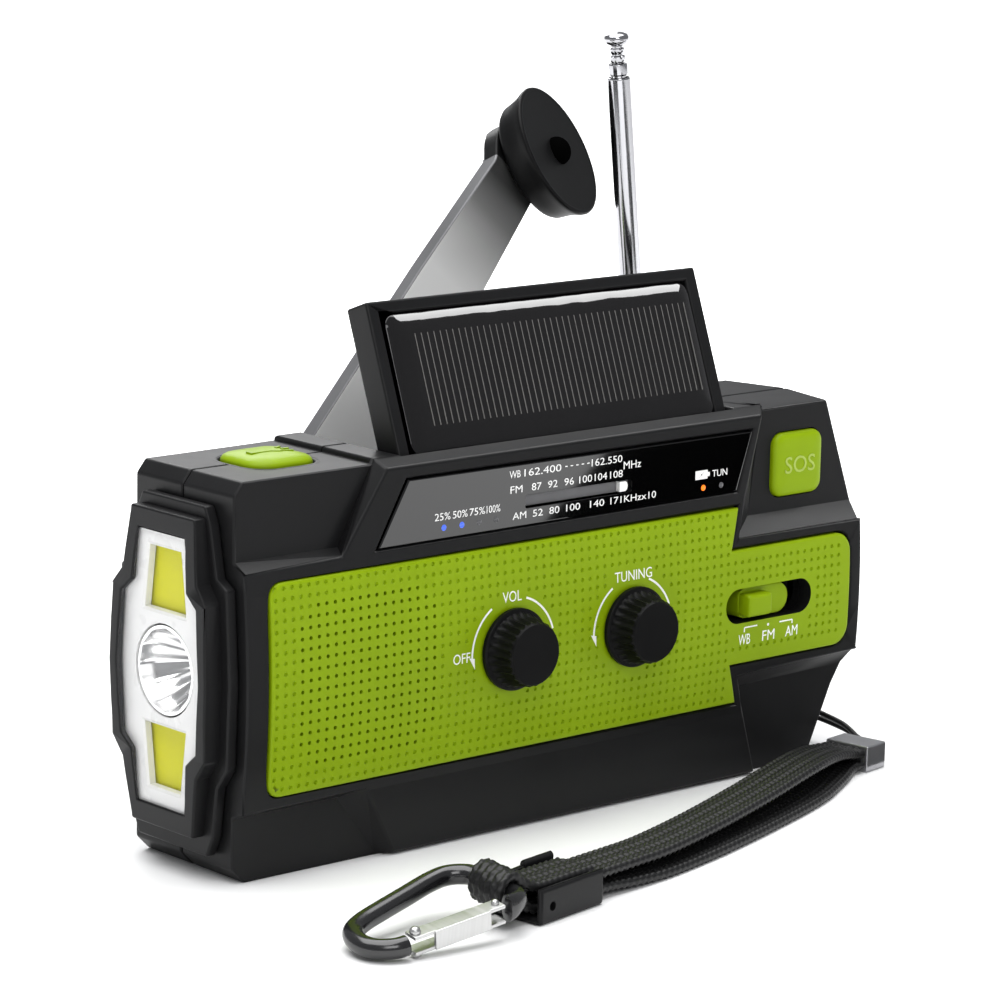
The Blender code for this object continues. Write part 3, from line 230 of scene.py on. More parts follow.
def arm_tone_and_painted_light_look():
    """The crank arm's colour: a ramp from black near the knob, through silver, to near-white at its root. It
    is partly the arm's own tone and partly painted light, which keeps the lower arm pale where the panel
    shades it.
    """
    made, nodes, links, shader = blank("crank_arm_tone_and_painted_light")
    coords = nodes.new("ShaderNodeTexCoord").outputs["Object"]
    along = nodes.new("ShaderNodeVectorMath")
    along.operation = "DOT_PRODUCT"
    along.inputs[1].default_value = (math.cos(CRANK_TURN), 0, math.sin(CRANK_TURN))
    links.new(coords, along.inputs[0])
    # Ramp stops from root to knob: the pale stops near the root are painted light.
    levels = ((0.0, 0.88), (0.55, 0.88), (0.70, 0.78), (0.80, 0.45), (0.89, 0.15), (0.97, 0.035))
    tone_and_light_ramp = ramped(nodes, links, shader, [(place, (level, level, level * 0.99)) for place, level in levels])
    start = Vector((CRANK[0], 0, CRANK[1])).dot(along.inputs[1].default_value) * MM
    ranged(nodes, links, along.outputs["Value"], tone_and_light_ramp, 0.0, 1.0, start, start + CRANK_REACH * MM)
    fine = noise(nodes, links, 900.0, coords, Detail=2.0)
    ranged(nodes, links, fine, shader.inputs["Roughness"], 0.34, 0.5)
    embossed(nodes, links, fine, shader, 0.4, 0.008)
    shader.inputs["Specular IOR Level"].default_value = 0.25
    return made


CLOTH, LENS, ARM_TONE_AND_PAINTED_LIGHT = cloth_look(), lens_look(), arm_tone_and_painted_light_look()
# A darker grey for the arm's side faces than for its front: painted shade on the sides.
ARM_SIDE_PAINTED_SHADE = finish_of("crank_arm_side_painted_shade", (0.13, 0.13, 0.135), 0.35, relief=0.006, Metallic=0.3)


# ---- mesh helpers
def finished(name, shape, looks, smooth=35.0, weighted=True):
    """Turn a bmesh (in metres) into a linked object with smooth faces and sharp corners kept."""
    bmesh.ops.recalc_face_normals(shape, faces=shape.faces)
    mesh = bpy.data.meshes.new(name)
    shape.to_mesh(mesh)
    shape.free()
    for look in looks if isinstance(looks, (list, tuple)) else (looks,):
        mesh.materials.append(look)
    mesh.shade_smooth()
    mesh.set_sharp_from_angle(angle=math.radians(smooth))
    made = bpy.data.objects.new(name, mesh)
    SCENE.collection.objects.link(made)
    if weighted:
        level = made.modifiers.new("weighted", "WEIGHTED_NORMAL")
        level.keep_sharp = True
        level.weight = 100
    return made


def placed(made, body, slot, *nodes):
    """Ride on a body and stand for CAD nodes, which it hides. The slot argument is not used."""
    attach(made, body)
    if nodes:
        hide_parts(*nodes)
    return made


def add_skin(shape, rings, cap_start=True, cap_end=True, closed=False, look=0):
    """Skin rings of equal length, given in millimetres, into a bmesh."""
    grid = [[shape.verts.new(Vector(point) * MM) for point in ring] for ring in rings]
    count = len(rings[0])
    spans = len(grid) if closed else len(grid) - 1
    for i in range(spans):
        a, b = grid[i], grid[(i + 1) % len(grid)]
        for j in range(count):
            k = (j + 1) % count
            shape.faces.new((a[j], a[k], b[k], b[j])).material_index = look
    if not closed and cap_start:
        shape.faces.new(list(reversed(grid[0]))).material_index = look
    if not closed and cap_end:
        shape.faces.new(grid[-1]).material_index = look
    return grid


def skinned(name, rings, look, smooth=35.0, weighted=True, closed=False):
    shape = bmesh.new()
    add_skin(shape, rings, closed=closed)
    return finished(name, shape, look, smooth, weighted)


def flat(a, b, level):
    return Vector((a, b, level))


def upright(a, b, level):
    return Vector((a, level, b))


def stacked(outline, levels, point=flat):
    """The outline's ring at each level."""
    return [[point(a, b, level) for a, b in outline] for level in levels]


def on_circle(centre, radius, degrees):
    angle = math.radians(degrees)
    return centre[0] + radius * math.cos(angle), centre[1] + radius * math.sin(angle)


def shrunk(outline, centre, share):
    return [(centre[0] + (a - centre[0]) * share, centre[1] + (b - centre[1]) * share) for a, b in outline]


def spun(outline, centre, degrees):
    """An outline drawn round the origin, turned and moved to a centre."""
    c, s = math.cos(math.radians(degrees)), math.sin(math.radians(degrees))
    return [(centre[0] + a * c - b * s, centre[1] + a * s + b * c) for a, b in outline]


def axes_across(direction):
    direction = Vector(direction).normalized()
    helper = Vector((0, 0, 1)) if abs(direction.z) < 0.9 else Vector((1, 0, 0))
    side = direction.cross(helper).normalized()
    return direction, side, direction.cross(side)


def turned_rings(base, direction, profile, segments, flute=None):
    """Rings of (radius, height) turned round an axis; flute gives each ring's groove depth and count."""
    along, side, up = axes_across(direction)
    rings = []
    for number, (radius, height) in enumerate(profile):
        depth, teeth = flute[number] if flute else (0.0, 0)
        middle, ring = Vector(base) + along * height, []
        for i in range(segments):
            angle = 2 * math.pi * i / segments
            reach = radius - depth * (0.5 - 0.5 * math.cos(teeth * angle)) ** 0.7 if depth else radius
            ring.append(middle + (side * math.cos(angle) + up * math.sin(angle)) * reach)
        rings.append(ring)
    return rings


def turned(name, base, direction, profile, look, segments=56, closed=False, smooth=35.0, flute=None):
    return skinned(name, turned_rings(base, direction, profile, segments, flute), look, smooth, closed=closed)


def rounded(centre, size, radius, steps=6):
    points = []
    for corner, start in (((1, 1), 0), ((-1, 1), 90), ((-1, -1), 180), ((1, -1), 270)):
        a = centre[0] + corner[0] * (size[0] / 2 - radius)
        b = centre[1] + corner[1] * (size[1] / 2 - radius)
        points += [on_circle((a, b), radius, start + 90 * i / steps) for i in range(steps + 1)]
    return points


def rim(centre, size, levels, point, corner, shrink=1.0, least=0.25, steps=7):
    """Rings of rounded rectangles at (inset, height) levels; the corner radius shrinks with the inset."""
    rings = []
    for inset, height in levels:
        radius = max(least, corner - inset * shrink)
        outline = rounded(centre, (size[0] - 2 * inset, size[1] - 2 * inset), radius, steps)
        rings.append([point(a, b, height) for a, b in outline])
    return rings


def add_box(shape, low, high, turn=None, edge=0.0):
    """A block with chamfered upright edges, turned by a matrix if one is given."""
    outline = [(low[0], low[1]), (high[0], low[1]), (high[0], high[1]), (low[0], high[1])]
    if edge:
        centre = ((low[0] + high[0]) / 2, (low[1] + high[1]) / 2)
        outline = rounded(centre, (high[0] - low[0], high[1] - low[1]), edge, 2)
    rings = stacked(outline, (low[2], high[2]))
    if turn:
        rings = [[turn @ point for point in ring] for ring in rings]
    add_skin(shape, rings)


def keep_flat(mesh, angle):
    """Mark the edges between two broad faces as sharp, so that each facet stays flat."""
    shape = bmesh.new()
    shape.from_mesh(mesh)
    for edge in shape.edges:
        if len(edge.link_faces) == 2 and edge.calc_face_angle(0.0) > math.radians(angle):
            if min(face.calc_area() for face in edge.link_faces) > 3e-6:
                edge.smooth = False
    shape.to_mesh(mesh)
    shape.free()


def refined(node, look, width=0.45, segments=2, angle=25.0, keep=None, smooth=32.0, shortest=0.6, crisp=0.0):
    """A CAD node's own shape, with flat faces merged and its outer edges rounded."""
    source = NODES[node]
    shape = bmesh.new()
    shape.from_mesh(source.data)
    shape.transform(source.matrix_world)
    bmesh.ops.remove_doubles(shape, verts=shape.verts, dist=5e-6)
    bmesh.ops.dissolve_limit(shape, angle_limit=math.radians(1.2), verts=shape.verts, edges=shape.edges)
    chosen = []
    for edge in shape.edges:
        if len(edge.link_faces) != 2 or not edge.is_convex:
            continue
        if edge.calc_face_angle(0.0) < math.radians(angle) or edge.calc_length() < shortest * MM:
            continue
        middle = (edge.verts[0].co + edge.verts[1].co) / 2 / MM
        if keep is None or keep(middle):
            chosen.append(edge)
    if chosen:
        bmesh.ops.bevel(shape, geom=chosen, offset=width * MM, offset_type="OFFSET", segments=segments,
                        profile=0.5, affect="EDGES", clamp_overlap=False, miter_outer="SHARP")
    made = finished(node + "_detail", shape, look, smooth)
    if crisp:
        keep_flat(made.data, crisp)
    return made


def dressed(node, look, body, slot, *args, **settings):
    """A CAD node's refined shape, standing for that node."""
    return placed(refined(node, look, *args, **settings), body, slot, node)


# ---- strap and cord
def smooth_route(points, count):
    """Points read evenly along a Catmull-Rom curve through the route's own points."""
    points = [Vector(p) for p in points]
    ends = [points[0] * 2 - points[1]] + points + [points[-1] * 2 - points[-2]]
    dense = []
    for i in range(1, len(ends) - 2):
        a, b, c, d = ends[i - 1:i + 3]
        for k in range(24):
            t = k / 24
            dense.append(0.5 * ((2 * b) + (c - a) * t + (2 * a - 5 * b + 4 * c - d) * t * t
                                + (3 * b - a - 3 * c + d) * t ** 3))
    dense.append(points[-1])
    lengths = [0.0]
    for a, b in zip(dense, dense[1:]):
        lengths.append(lengths[-1] + (b - a).length)
    route, j = [], 0
    for i in range(count):
        goal = lengths[-1] * i / (count - 1)
        while j < len(lengths) - 2 and lengths[j + 1] < goal:
            j += 1
        span = lengths[j + 1] - lengths[j]
        route.append(dense[j].lerp(dense[j + 1], (goal - lengths[j]) / span))
    return route


def route_length(points):
    return sum((b - a).length for a, b in zip(points, points[1:]))


CORD_ROUTE = [(78.0, -24.3, 3.4), (79.6, -20.5, 4.6), (80.9, -15.5, 5.8), (81.0, -9.0, 6.8),
              (80.5, -3.0, 7.6), (79.4, 2.8, 8.6), (76.7, 5.7, 10.0), (73.7, 5.8, 10.9), (71.3, 6.6, 10.2),
              (70.8, 7.0, 9.0), (71.3, 7.4, 7.6), (73.4, 7.6, 6.9), (76.4, 6.6, 6.4), (79.2, 3.2, 6.0),
              (81.6, -3.0, 5.6), (82.8, -9.0, 4.8), (83.0, -15.5, 3.8), (81.8, -21.5, 2.6),
              (78.3, -26.6, 2.1)]
UPPER_ROUTE = [(70.4, -26.45, 4.1), (66.2, -27.15, 4.6), (58.0, -30.6, 6.0), (45.0, -36.8, 7.0),
               (25.0, -43.8, 6.0), (5.0, -50.2, 5.2), (-12.0, -55.0, 4.8), (-22.0, -57.1, 4.9),
               (-30.4, -58.6, 5.0), (-34.9, -59.4, 5.0)]
LOWER_ROUTE = [(70.4, -26.45, 1.8), (66.2, -27.2, 1.4), (58.0, -32.0, 1.0), (45.0, -38.8, 1.0),
               (25.0, -46.0, 1.0), (5.0, -52.2, 1.0), (-12.0, -56.4, 1.0), (-22.0, -57.9, 1.4),
               (-30.4, -58.7, 2.0), (-34.9, -59.4, 2.2)]


def woven(name, frames, width, thick, ribs=7, stitch=1.7, phase=0.0):
    """Flat braid on (point, across, normal) frames: lengthwise ribs, each laid in slanting stitches."""
    per_rib = 5
    places = []
    for side in (1, -1):
        for rib in range(ribs):
            for step in range(per_rib):
                local = (step + 0.5) / per_rib * 2 - 1
                u = ((rib + (local + 1) / 2) / ribs * 2 - 1) * side
                places.append((u, side, rib, local))
    rings, run, before = [], phase, None
    for point, across, normal in frames:
        run += (point - before).length if before else 0.0
        before = point
        ring = []
        for u, side, rib, local in places:
            body = thick / 2 * (1 - abs(u) ** 7) ** 0.5
            round_rib = 0.50 * math.sqrt(max(0.0, 1 - local * local)) - 0.29
            slant = 1.0 if rib % 2 else -1.0
            wave = math.sin(2 * math.pi * (run / stitch + slant * local * 0.32 + 0.21 * rib))
            lift = body + round_rib + 0.19 * wave * (1 - 0.4 * abs(local))
            ring.append(point + across * u * (width / 2 - 0.1) + normal * lift * side)
        rings.append(ring)
    return skinned(name, rings, CLOTH, smooth=80.0, weighted=False)


def level_frames(route):
    frames = []
    for i, point in enumerate(route):
        ahead = route[min(i + 1, len(route) - 1)] - route[max(i - 1, 0)]
        side = ahead.cross(Vector((0, 0, 1))).normalized()
        frames.append((point, side, side.cross(ahead).normalized()))
    return frames


CARABINER_END = Vector((-60.2, -63.2, 6.85))
CARABINER_AXIS = Vector((-0.989, 0.013, -0.146)).normalized()
CARABINER_SIDE = Vector((0.0016, -0.9948, -0.0993)).normalized()
CARABINER_UP = CARABINER_AXIS.cross(CARABINER_SIDE).normalized()
BAR = 1.9
BODY_ROUTE = [(2.9, 7.75), (0.9, 7.5), (-1.3, 6.2), (-2.0, 4.2), (-2.0, 0.0), (-2.0, -4.6), (-1.2, -7.8),
              (1.8, -9.9), (6.0, -9.9), (12.6, -8.6), (19.2, -7.3), (24.4, -6.1), (28.1, -4.2), (29.8, -0.6),
              (29.4, 3.0), (26.8, 5.5), (24.0, 6.2)]


def carabiner_point(along, across):
    return CARABINER_END + CARABINER_AXIS * along + CARABINER_SIDE * across


def loop_frames():
    """Webbing out of the lock, over and round the carabiner's end bar, and back into the lock."""
    roll = carabiner_point(-2.0, -0.2)
    heading = Vector((math.cos(LOCK_TURN), math.sin(LOCK_TURN), 0))
    up = Vector((0, 0, 1))
    level = up.cross(heading)
    sideways = level * (Vector((*LOCK, 0)) - roll).dot(level)
    outline = [(22.4, -0.9, 0), (15.0, -0.8, 0), (8.0, -0.7, 0), (5.6, -0.35, 0.2), (3.9, 0.8, 0.7)]
    for i in range(14):
        angle = math.radians(38 + 20 * i)
        outline.append((3.1 * math.cos(angle), 3.1 * math.sin(angle), 1))
    outline += [(3.9, -3.5, 0.7), (6.0, -4.6, 0.2), (9.0, -4.85, 0), (15.0, -4.85, 0)]
    dense = smooth_route(outline, 110)
    frames = []
    for i, (a, b, wrapped) in enumerate(dense):
        before, after = dense[max(i - 1, 0)], dense[min(i + 1, len(dense) - 1)]
        tangent = (heading * (after[0] - before[0]) + up * (after[1] - before[1])).normalized()
        wrapped = min(1.0, max(0.0, wrapped))
        across = level.lerp(-CARABINER_SIDE, wrapped).normalized()
        normal = across.cross(tangent).normalized()
        frames.append((roll + heading * a + up * b + sideways * (1 - wrapped), across, normal))
    return frames


def swept(name, route, section, look, smooth=40.0):
    """A bar along a route in the carabiner's plane; section gives (half width, half height) along it."""
    rings = []
    for i, point in enumerate(route):
        ahead = (route[min(i + 1, len(route) - 1)] - route[max(i - 1, 0)]).normalized()
        side = ahead.cross(CARABINER_UP).normalized()
        wide, high = section(i / (len(route) - 1))
        rings.append([point + side * wide * math.cos(t) + CARABINER_UP * high * math.sin(t)
                      for t in (2 * math.pi * k / 24 for k in range(24))])
    return skinned(name, rings, look, smooth)


def body_section(share):
    """Round bar, flattened upright where the gate is hinged and rounded off at both ends."""
    flat = max(0.0, 1 - share / 0.085)
    end = min(1.0, math.sqrt(max(0.0, 1 - max(0.0, (0.012 - share) / 0.012) ** 2)) + 0.25)
    far = min(1.0, math.sqrt(max(0.0, 1 - max(0.0, (share - 0.985) / 0.015) ** 2)) + 0.2)
    return (BAR - 0.55 * flat) * end * far, (BAR + 0.95 * flat) * end * far


def make_gate():
    """A folded sheet channel, notched at both ends, with a rivet at each end."""
    start, end = carabiner_point(4.1, 7.72), carabiner_point(23.4, 6.28)
    ahead = (end - start).normalized()
    out = CARABINER_UP.cross(ahead).normalized()
    length = (end - start).length
    frame_of_gate = Matrix.Translation(start) @ Matrix((ahead, out, CARABINER_UP)).transposed().to_4x4()
    shape = bmesh.new()
    for low, high in (((-0.2, -1.7, 1.15), (length + 0.2, 1.5, 1.85)),
                      ((-0.2, -1.7, -1.85), (length + 0.2, 1.5, -1.15)),
                      ((3.2, 1.1, -1.85), (length - 4.0, 1.85, 1.85))):
        add_box(shape, low, high, frame_of_gate)
    bmesh.ops.recalc_face_normals(shape, faces=shape.faces)
    bmesh.ops.bevel(shape, geom=list(shape.edges), offset=0.22 * MM, segments=2, profile=0.6, affect="EDGES")
    dome = [(0.0, 1.35), (0.55, 1.25), (0.95, 0.9), (1.1, 0.45), (1.05, 0.0)]
    for a, reach, size in ((length - 0.9, 1.75, 0.95), (1.0, 1.75, 0.7)):
        for side in (1, -1):
            profile = [(max(0.02, r * size), reach + h * size) for r, h in reversed(dome)]
            rivet = frame_of_gate @ Vector((a, -0.1, 0))
            add_skin(shape, turned_rings(rivet, CARABINER_UP * side, profile, 20))
    return finished("gate_channel", shape, SILVER, 40.0)


def make_strap():
    cord = bpy.data.curves.new("lanyard_loop", "CURVE")
    cord.dimensions = "3D"
    cord.bevel_depth = 0.55 * MM
    cord.bevel_resolution = 4
    cord.use_fill_caps = True
    route = smooth_route(CORD_ROUTE, 72)
    spline = cord.splines.new("POLY")
    spline.points.add(len(route) - 1)
    for point, place in zip(spline.points, route):
        point.co = (*(place * MM), 1.0)
    cord.materials.append(CLOTH)
    lanyard = bpy.data.objects.new("lanyard_loop", cord)
    SCENE.collection.objects.link(lanyard)
    placed(lanyard, "case", "strap_cloth", "lanyard_cord")

    upper, lower = smooth_route(UPPER_ROUTE, 330), smooth_route(LOWER_ROUTE, 330)
    for name, route, node, phase in (("band_upper_woven", upper, "strap_band_upper", 0.0),
                                     ("band_lower_woven", lower, "strap_band_lower", 0.7)):
        band = woven(name, level_frames(route), BAND_WIDTH, BAND_THICK, phase=phase)
        placed(band, "case", "strap_cloth", node)
    loop = placed(woven("loop_woven", loop_frames(), 9.4, 1.4, ribs=6), "case", "strap_cloth", "strap_loop")
    lock = dressed("strap_lock", SHELL, "case", "shell_black", 0.8, 3, 40.0, shortest=1.5)
    clip = dressed("strap_clip", CLIP_GREY, "case", "clip_metal", 0.35, 2)
    route = smooth_route([carabiner_point(a, b) for a, b in BODY_ROUTE], 150)
    body = swept("carabiner_bar", route, body_section, ANODISED)
    placed(body, "case", "carabiner_black", "carabiner_body")
    gate = placed(make_gate(), "gate", "gate_silver", "carabiner_gate")
    route_length(smooth_route(CORD_ROUTE, 72)) * MM


make_strap()


# ---- case
def outside_shell(point):
    """True for a point on the case's outer skin, away from its hollow inside."""
    hollow = abs(point.y) < 14.5 and -78.9 < point.x < 80.0 and 2.3 < point.z < 73.7
    return not hollow


def make_case():
    for node in ("front_cover", "rear_cover"):
        dressed(node, SHELL, "case", "shell_black", 0.5, 3, 18.0, outside_shell, shortest=1.2, crisp=4.5)
    levels = ((0.0, DECK + 0.02), (0.35, DECK + 0.05), (0.35, DECK - 0.25), (0.0, DECK - 0.25))
    rings = rim(TORCH_BUTTON, (17.6, 17.6), levels, flat, 5.6, 0.0, steps=6)
    placed(skinned("button_ring", rings, SHELL, closed=True), "case", "shell_black")


def front_of_grille(z):
    share = (2 * z - BELT_LOW - BELT_HIGH) / (BELT_HIGH - BELT_LOW)
    return -(BELT_FACE + GRILLE_LIFT + BELT_BULGE * max(0.0, 1 - share * share))


def densified(ring, step, moved=None):
    """A ring's points, split to a step; moved is another ring, split in the same shares instead."""
    moved, points = moved or ring, []
    for a, b, (cx, cz), (dx, dz) in zip(ring, ring[1:] + ring[:1], moved, moved[1:] + moved[:1]):
        count = max(1, round(math.hypot(b[0] - a[0], b[1] - a[1]) / step))
        points += [(cx + (dx - cx) * i / count, cz + (dz - cz) * i / count) for i in range(count)]
    return points


def sheet_faces(shape, boundary, holes, extra, level, look=0):
    """Fill between a boundary and its holes in the X-Z plane, at the Y that level(z) gives."""
    points, edges, owner = [], [], []
    for number, ring in enumerate([boundary] + holes):
        first = len(points)
        points += ring
        owner += [number] * len(ring)
        edges += [(first + i, first + (i + 1) % len(ring)) for i in range(len(ring))]
    points += extra
    owner += [0] * len(extra)
    found = delaunay_2d_cdt([Vector(p) for p in points], edges, [], 1, 1e-6)
    spots = [shape.verts.new(Vector((p.x, level(p.y), p.y)) * MM) for p in found[0]]
    rings = [owner[sources[0]] if sources else 0 for sources in found[3]]
    for face in found[2]:
        corners = {rings[i] for i in face}
        if len(corners) > 1 or corners == {0}:
            shape.faces.new([spots[i] for i in face]).material_index = look


def circle(centre, radius, segments):
    return [on_circle(centre, radius, 360 * i / segments) for i in range(segments)]


def panel(name, rims, front, back, pierced, dimples, extra, looks, wall_look=0, smooth=38.0, weighted=True):
    """A plate with a rounded rim, holes right through it and shallow dimples in its face.

    rims is a list of (outline, depth behind the face); pierced and dimples hold rings in the X-Z plane."""
    shape = bmesh.new()
    holes = [ring for ring, _ in pierced + dimples]
    sheet_faces(shape, rims[0][0], holes, extra, front)
    sheet_faces(shape, rims[-1][0], [ring for ring, _ in pierced], [], lambda z: back)

    def lifted(ring, depth):
        return [Vector((x, front(z) + depth, z)) for x, z in ring]
    outer = [lifted(outline, depth) for outline, depth in rims]
    outer.append([Vector((x, back, z)) for x, z in rims[-1][0]])
    add_skin(shape, outer, False, False)
    for ring, is_wall in pierced:
        walls = [lifted(ring, 0.0), [Vector((x, back, z)) for x, z in ring]]
        add_skin(shape, walls, False, False, look=wall_look if is_wall else 0)
    for ring, (centre, depth) in dimples:
        add_skin(shape, [lifted(ring, 0.0), lifted(shrunk(ring, centre, 0.62), depth)], False, True)
    bmesh.ops.remove_doubles(shape, verts=shape.verts, dist=2e-6)
    return finished(name, shape, looks, smooth, weighted)


def grille_outline(inset, steps=8):
    left, right = -76.0 + inset, 77.4 - inset
    top, bottom = 57.4 - inset, 16.1 + inset
    tab_top, tab_bottom = 48.8 - inset, 24.4 + inset
    corners = ((right - 4, tab_top - 4, 0, 4), (left + 3, top - 3, 90, 3), (left + 3, bottom + 3, 180, 3),
               (right - 4, tab_bottom + 4, 270, 4))
    arcs = [arc_points((x, z), radius, start, start + 90, steps) for x, z, start, radius in corners]
    upper_step = [(42.9 - inset, tab_top), (45.1 - inset, top)]
    lower_step = [(45.8 - inset, bottom), (43.3 - inset, tab_bottom)]
    return arcs[0] + upper_step + arcs[1] + arcs[2] + lower_step + arcs[3]


PITCH, FIRST_DIMPLE, DIMPLE_COLUMNS, DIMPLE_ROWS = 2.0, (-74.6, 56.0), 75, 20
TAB_COLUMN, TAB_ROWS = 59, (5, 15)  # the narrower right end of the grille
HOLE_RADIUS, DIMPLE_RADIUS, DIMPLE_DEPTH = 0.40, 0.47, 0.34


def open_dimple(column, row):
    """True where the grille is pierced right through, in front of the speaker."""
    if row in (2, 17):
        return 5 <= column <= 17
    if row in (3, 16):
        return 4 <= column <= 18
    return 4 <= row <= 15 and 3 <= column <= 19


PLAIN_BOXES = (((-20.5, 45.2), (-13.4, 49.4)), ((-32.8, 35.0), (-26.5, 38.7)), ((8.9, 45.3), (21.2, 49.4)),
               ((40.0, 33.5), (66.5, 40.5)), ((43.0, 29.5), (64.0, 33.0)))


def plain_place(x, z):
    """True where the dimple pattern leaves the face plain: round the knobs, the slot and the labels."""
    for centre in ((-16.6, 36.5), (15.0, 36.5)):
        away = math.dist((x, z), centre)
        if away < 9.2 or (away < 12.0 and z > centre[1] + 3.4):
            return True
    return any(low[0] < x < high[0] and low[1] < z < high[1] for low, high in PLAIN_BOXES)


def make_grille():
    pierced, dimples, extra = [], [], []
    for column in range(DIMPLE_COLUMNS):
        for row in range(DIMPLE_ROWS) if column < TAB_COLUMN else range(*TAB_ROWS):
            x, z = FIRST_DIMPLE[0] + PITCH * column, FIRST_DIMPLE[1] - PITCH * row
            if plain_place(x, z):
                near_slot = abs(x - SLOT[0]) < 14.4 and abs(z - SLOT[1]) < 5.0
                near_knob = min(math.dist((x, z), (knob, KNOB_Z)) for knob in (VOLUME_X, TUNING_X)) < 5.0
                if not near_slot and not near_knob:
                    extra.append((x, z))
            elif open_dimple(column, row):
                pierced.append((circle((x, z), HOLE_RADIUS, 12), False))
            else:
                dimples.append((circle((x, z), DIMPLE_RADIUS, 12), ((x, z), DIMPLE_DEPTH)))
    for x in (VOLUME_X, TUNING_X):
        pierced.append((circle((x, KNOB_Z), 3.6, 32), False))
    slot = densified(rounded(SLOT, SLOT_SIZE, 3.5, 8), 1.5)
    pierced.append((slot, True))
    rims = []
    for inset, depth in ((0.85, 0.0), (0.6, 0.05), (0.4, 0.2), (0.3, 0.45)):
        rims.append((densified(grille_outline(0.0), 1.6, grille_outline(inset)), depth))
    made = panel("grille_panel", rims, front_of_grille, GRILLE_BACK, pierced, dimples, extra,
                 [GREEN, SHELL], 1)
    placed(made, "case", "green_plastic", "grille")


def front_of_window(_):
    return WINDOW_FACE


def window_outline(inset):
    return [(-49.8 + inset * 1.6, 60.1 + inset), (45.0 - inset * 1.2, 60.3 + inset),
            (48.9 - inset * 1.2, 72.7 - inset), (-42.6 + inset, 73.0 - inset)]


def make_window():
    slot = rounded((1.3, POINTER[1]), (28.2, 2.7), 0.5, 3)
    rims = [(window_outline(inset), depth) for inset, depth in ((0.55, 0.0), (0.4, 0.05), (0.3, 0.2))]
    made = panel("window_plate", rims, front_of_window, WINDOW_BACK, [(slot, False)], [], [], [GLOSS],
                 smooth=8.0, weighted=False)
    placed(made, "case", "window_gloss", "dial_window")
    track = bmesh.new()
    add_box(track, (-12.6, -16.78, 63.95), (15.4, -16.62, 66.0))
    placed(finished("track_strip", track, TRACK), "case", "window_gloss")
    x, z = POINTER
    turns = [math.radians(angle) for angle in range(0, 181, 15)]
    outline = [(x + 0.35 + 0.75 * math.sin(turn), z - math.cos(turn)) for turn in turns]
    outline = [(x - 1.05, z - 1.0)] + outline + [(x - 1.05, z + 1.0)]
    pointer = skinned("pointer_tab", stacked(outline, (-17.8, -17.65, -9.6), upright), POINTER_WHITE)
    placed(pointer, "pointer", "pointer_white", "dial_pointer")


# ---- print
FONT_CAP = 0.729  # height of a capital in the built-in font, at size 1


def add_letters(shape, text, left, base, width, cap, level, lift=0.02):
    """Raised print: a line of text stretched to a width, with capitals of a given height."""
    curve = bpy.data.curves.new("line", "FONT")
    curve.body = text
    curve.resolution_u = 3
    holder = bpy.data.objects.new("line", curve)
    mesh = bpy.data.meshes.new_from_object(holder)
    bpy.data.objects.remove(holder)
    bpy.data.curves.remove(curve)
    low = min(v.co.x for v in mesh.vertices)
    wide = max(v.co.x for v in mesh.vertices) - low
    letters = bmesh.new()
    letters.from_mesh(mesh)
    bpy.data.meshes.remove(mesh)
    bmesh.ops.remove_doubles(letters, verts=letters.verts, dist=1e-5)
    grown = bmesh.ops.extrude_face_region(letters, geom=letters.faces[:])
    top = {item for item in grown["geom"] if isinstance(item, bmesh.types.BMVert)}
    for vertex in letters.verts:
        z = base + vertex.co.y / FONT_CAP * cap
        x = left + (vertex.co.x - low) / wide * width
        vertex.co = Vector((x, level(z) - (lift if vertex in top else -0.03), z)) * MM
    bmesh.ops.recalc_face_normals(letters, faces=letters.faces)
    scratch = bpy.data.meshes.new("scratch")
    letters.to_mesh(scratch)
    letters.free()
    shape.from_mesh(scratch)
    bpy.data.meshes.remove(scratch)


def add_flat(shape, outline, level, lift=0.02):
    """A flat printed shape, from an outline in the X-Z plane."""
    rings = [[Vector((x, level(z) + depth, z)) for x, z in outline] for depth in (0.03, -lift)]
    add_skin(shape, rings)


def add_stroke(shape, points, width, level):
    """A printed line of even width through points in the X-Z plane."""
    for (ax, az), (bx, bz) in zip(points, points[1:]):
        run = math.hypot(bx - ax, bz - az)
        px, pz = -(bz - az) / run * width / 2, (bx - ax) / run * width / 2
        corners = [(ax + px, az + pz), (bx + px, bz + pz), (bx - px, bz - pz), (ax - px, az - pz)]
        add_flat(shape, corners, level)


def arc_points(centre, radius, start, end, count=22):
    return [on_circle(centre, radius, start + (end - start) * i / count) for i in range(count + 1)]


def make_control_print():
    shape = bmesh.new()
    for text, left, base, width, cap in (
            ("VOL", -19.4, 46.2, 4.85, 2.2), ("OFF", -31.95, 35.8, 4.25, 2.1),
            ("TUNING", 10.05, 46.3, 10.05, 2.15), ("WB", 44.85, 28.7, 3.35, 2.3),
            ("FM", 51.7, 28.7, 3.5, 2.3), ("AM", 58.4, 28.7, 3.5, 2.3)):
        add_letters(shape, text, left, base, width, cap, front_of_grille)
    arcs = (((-16.6, 36.45), 10.6, 72, 17), ((15.0, 36.4), 10.5, 66, 21))
    for centre, radius, right_start, right_end in arcs:
        for start, end in ((122, 181), (right_start, right_end)):
            add_stroke(shape, arc_points(centre, radius, start, end), 0.42, front_of_grille)
        x = centre[0] - radius
        add_flat(shape, [(x - 0.75, 36.6), (x + 0.65, 36.3), (x + 0.75, 34.2)], front_of_grille)
    add_stroke(shape, [(46.4, 31.3), (46.4, 32.25), (50.05, 32.25)], 0.28, front_of_grille)
    add_stroke(shape, [(56.5, 32.1), (60.2, 32.1), (60.2, 31.3)], 0.28, front_of_grille)
    add_flat(shape, circle((53.2, 32.0), 0.3, 12), front_of_grille)
    placed(finished("control_print", shape, INK, weighted=False), "case", "pointer_white")


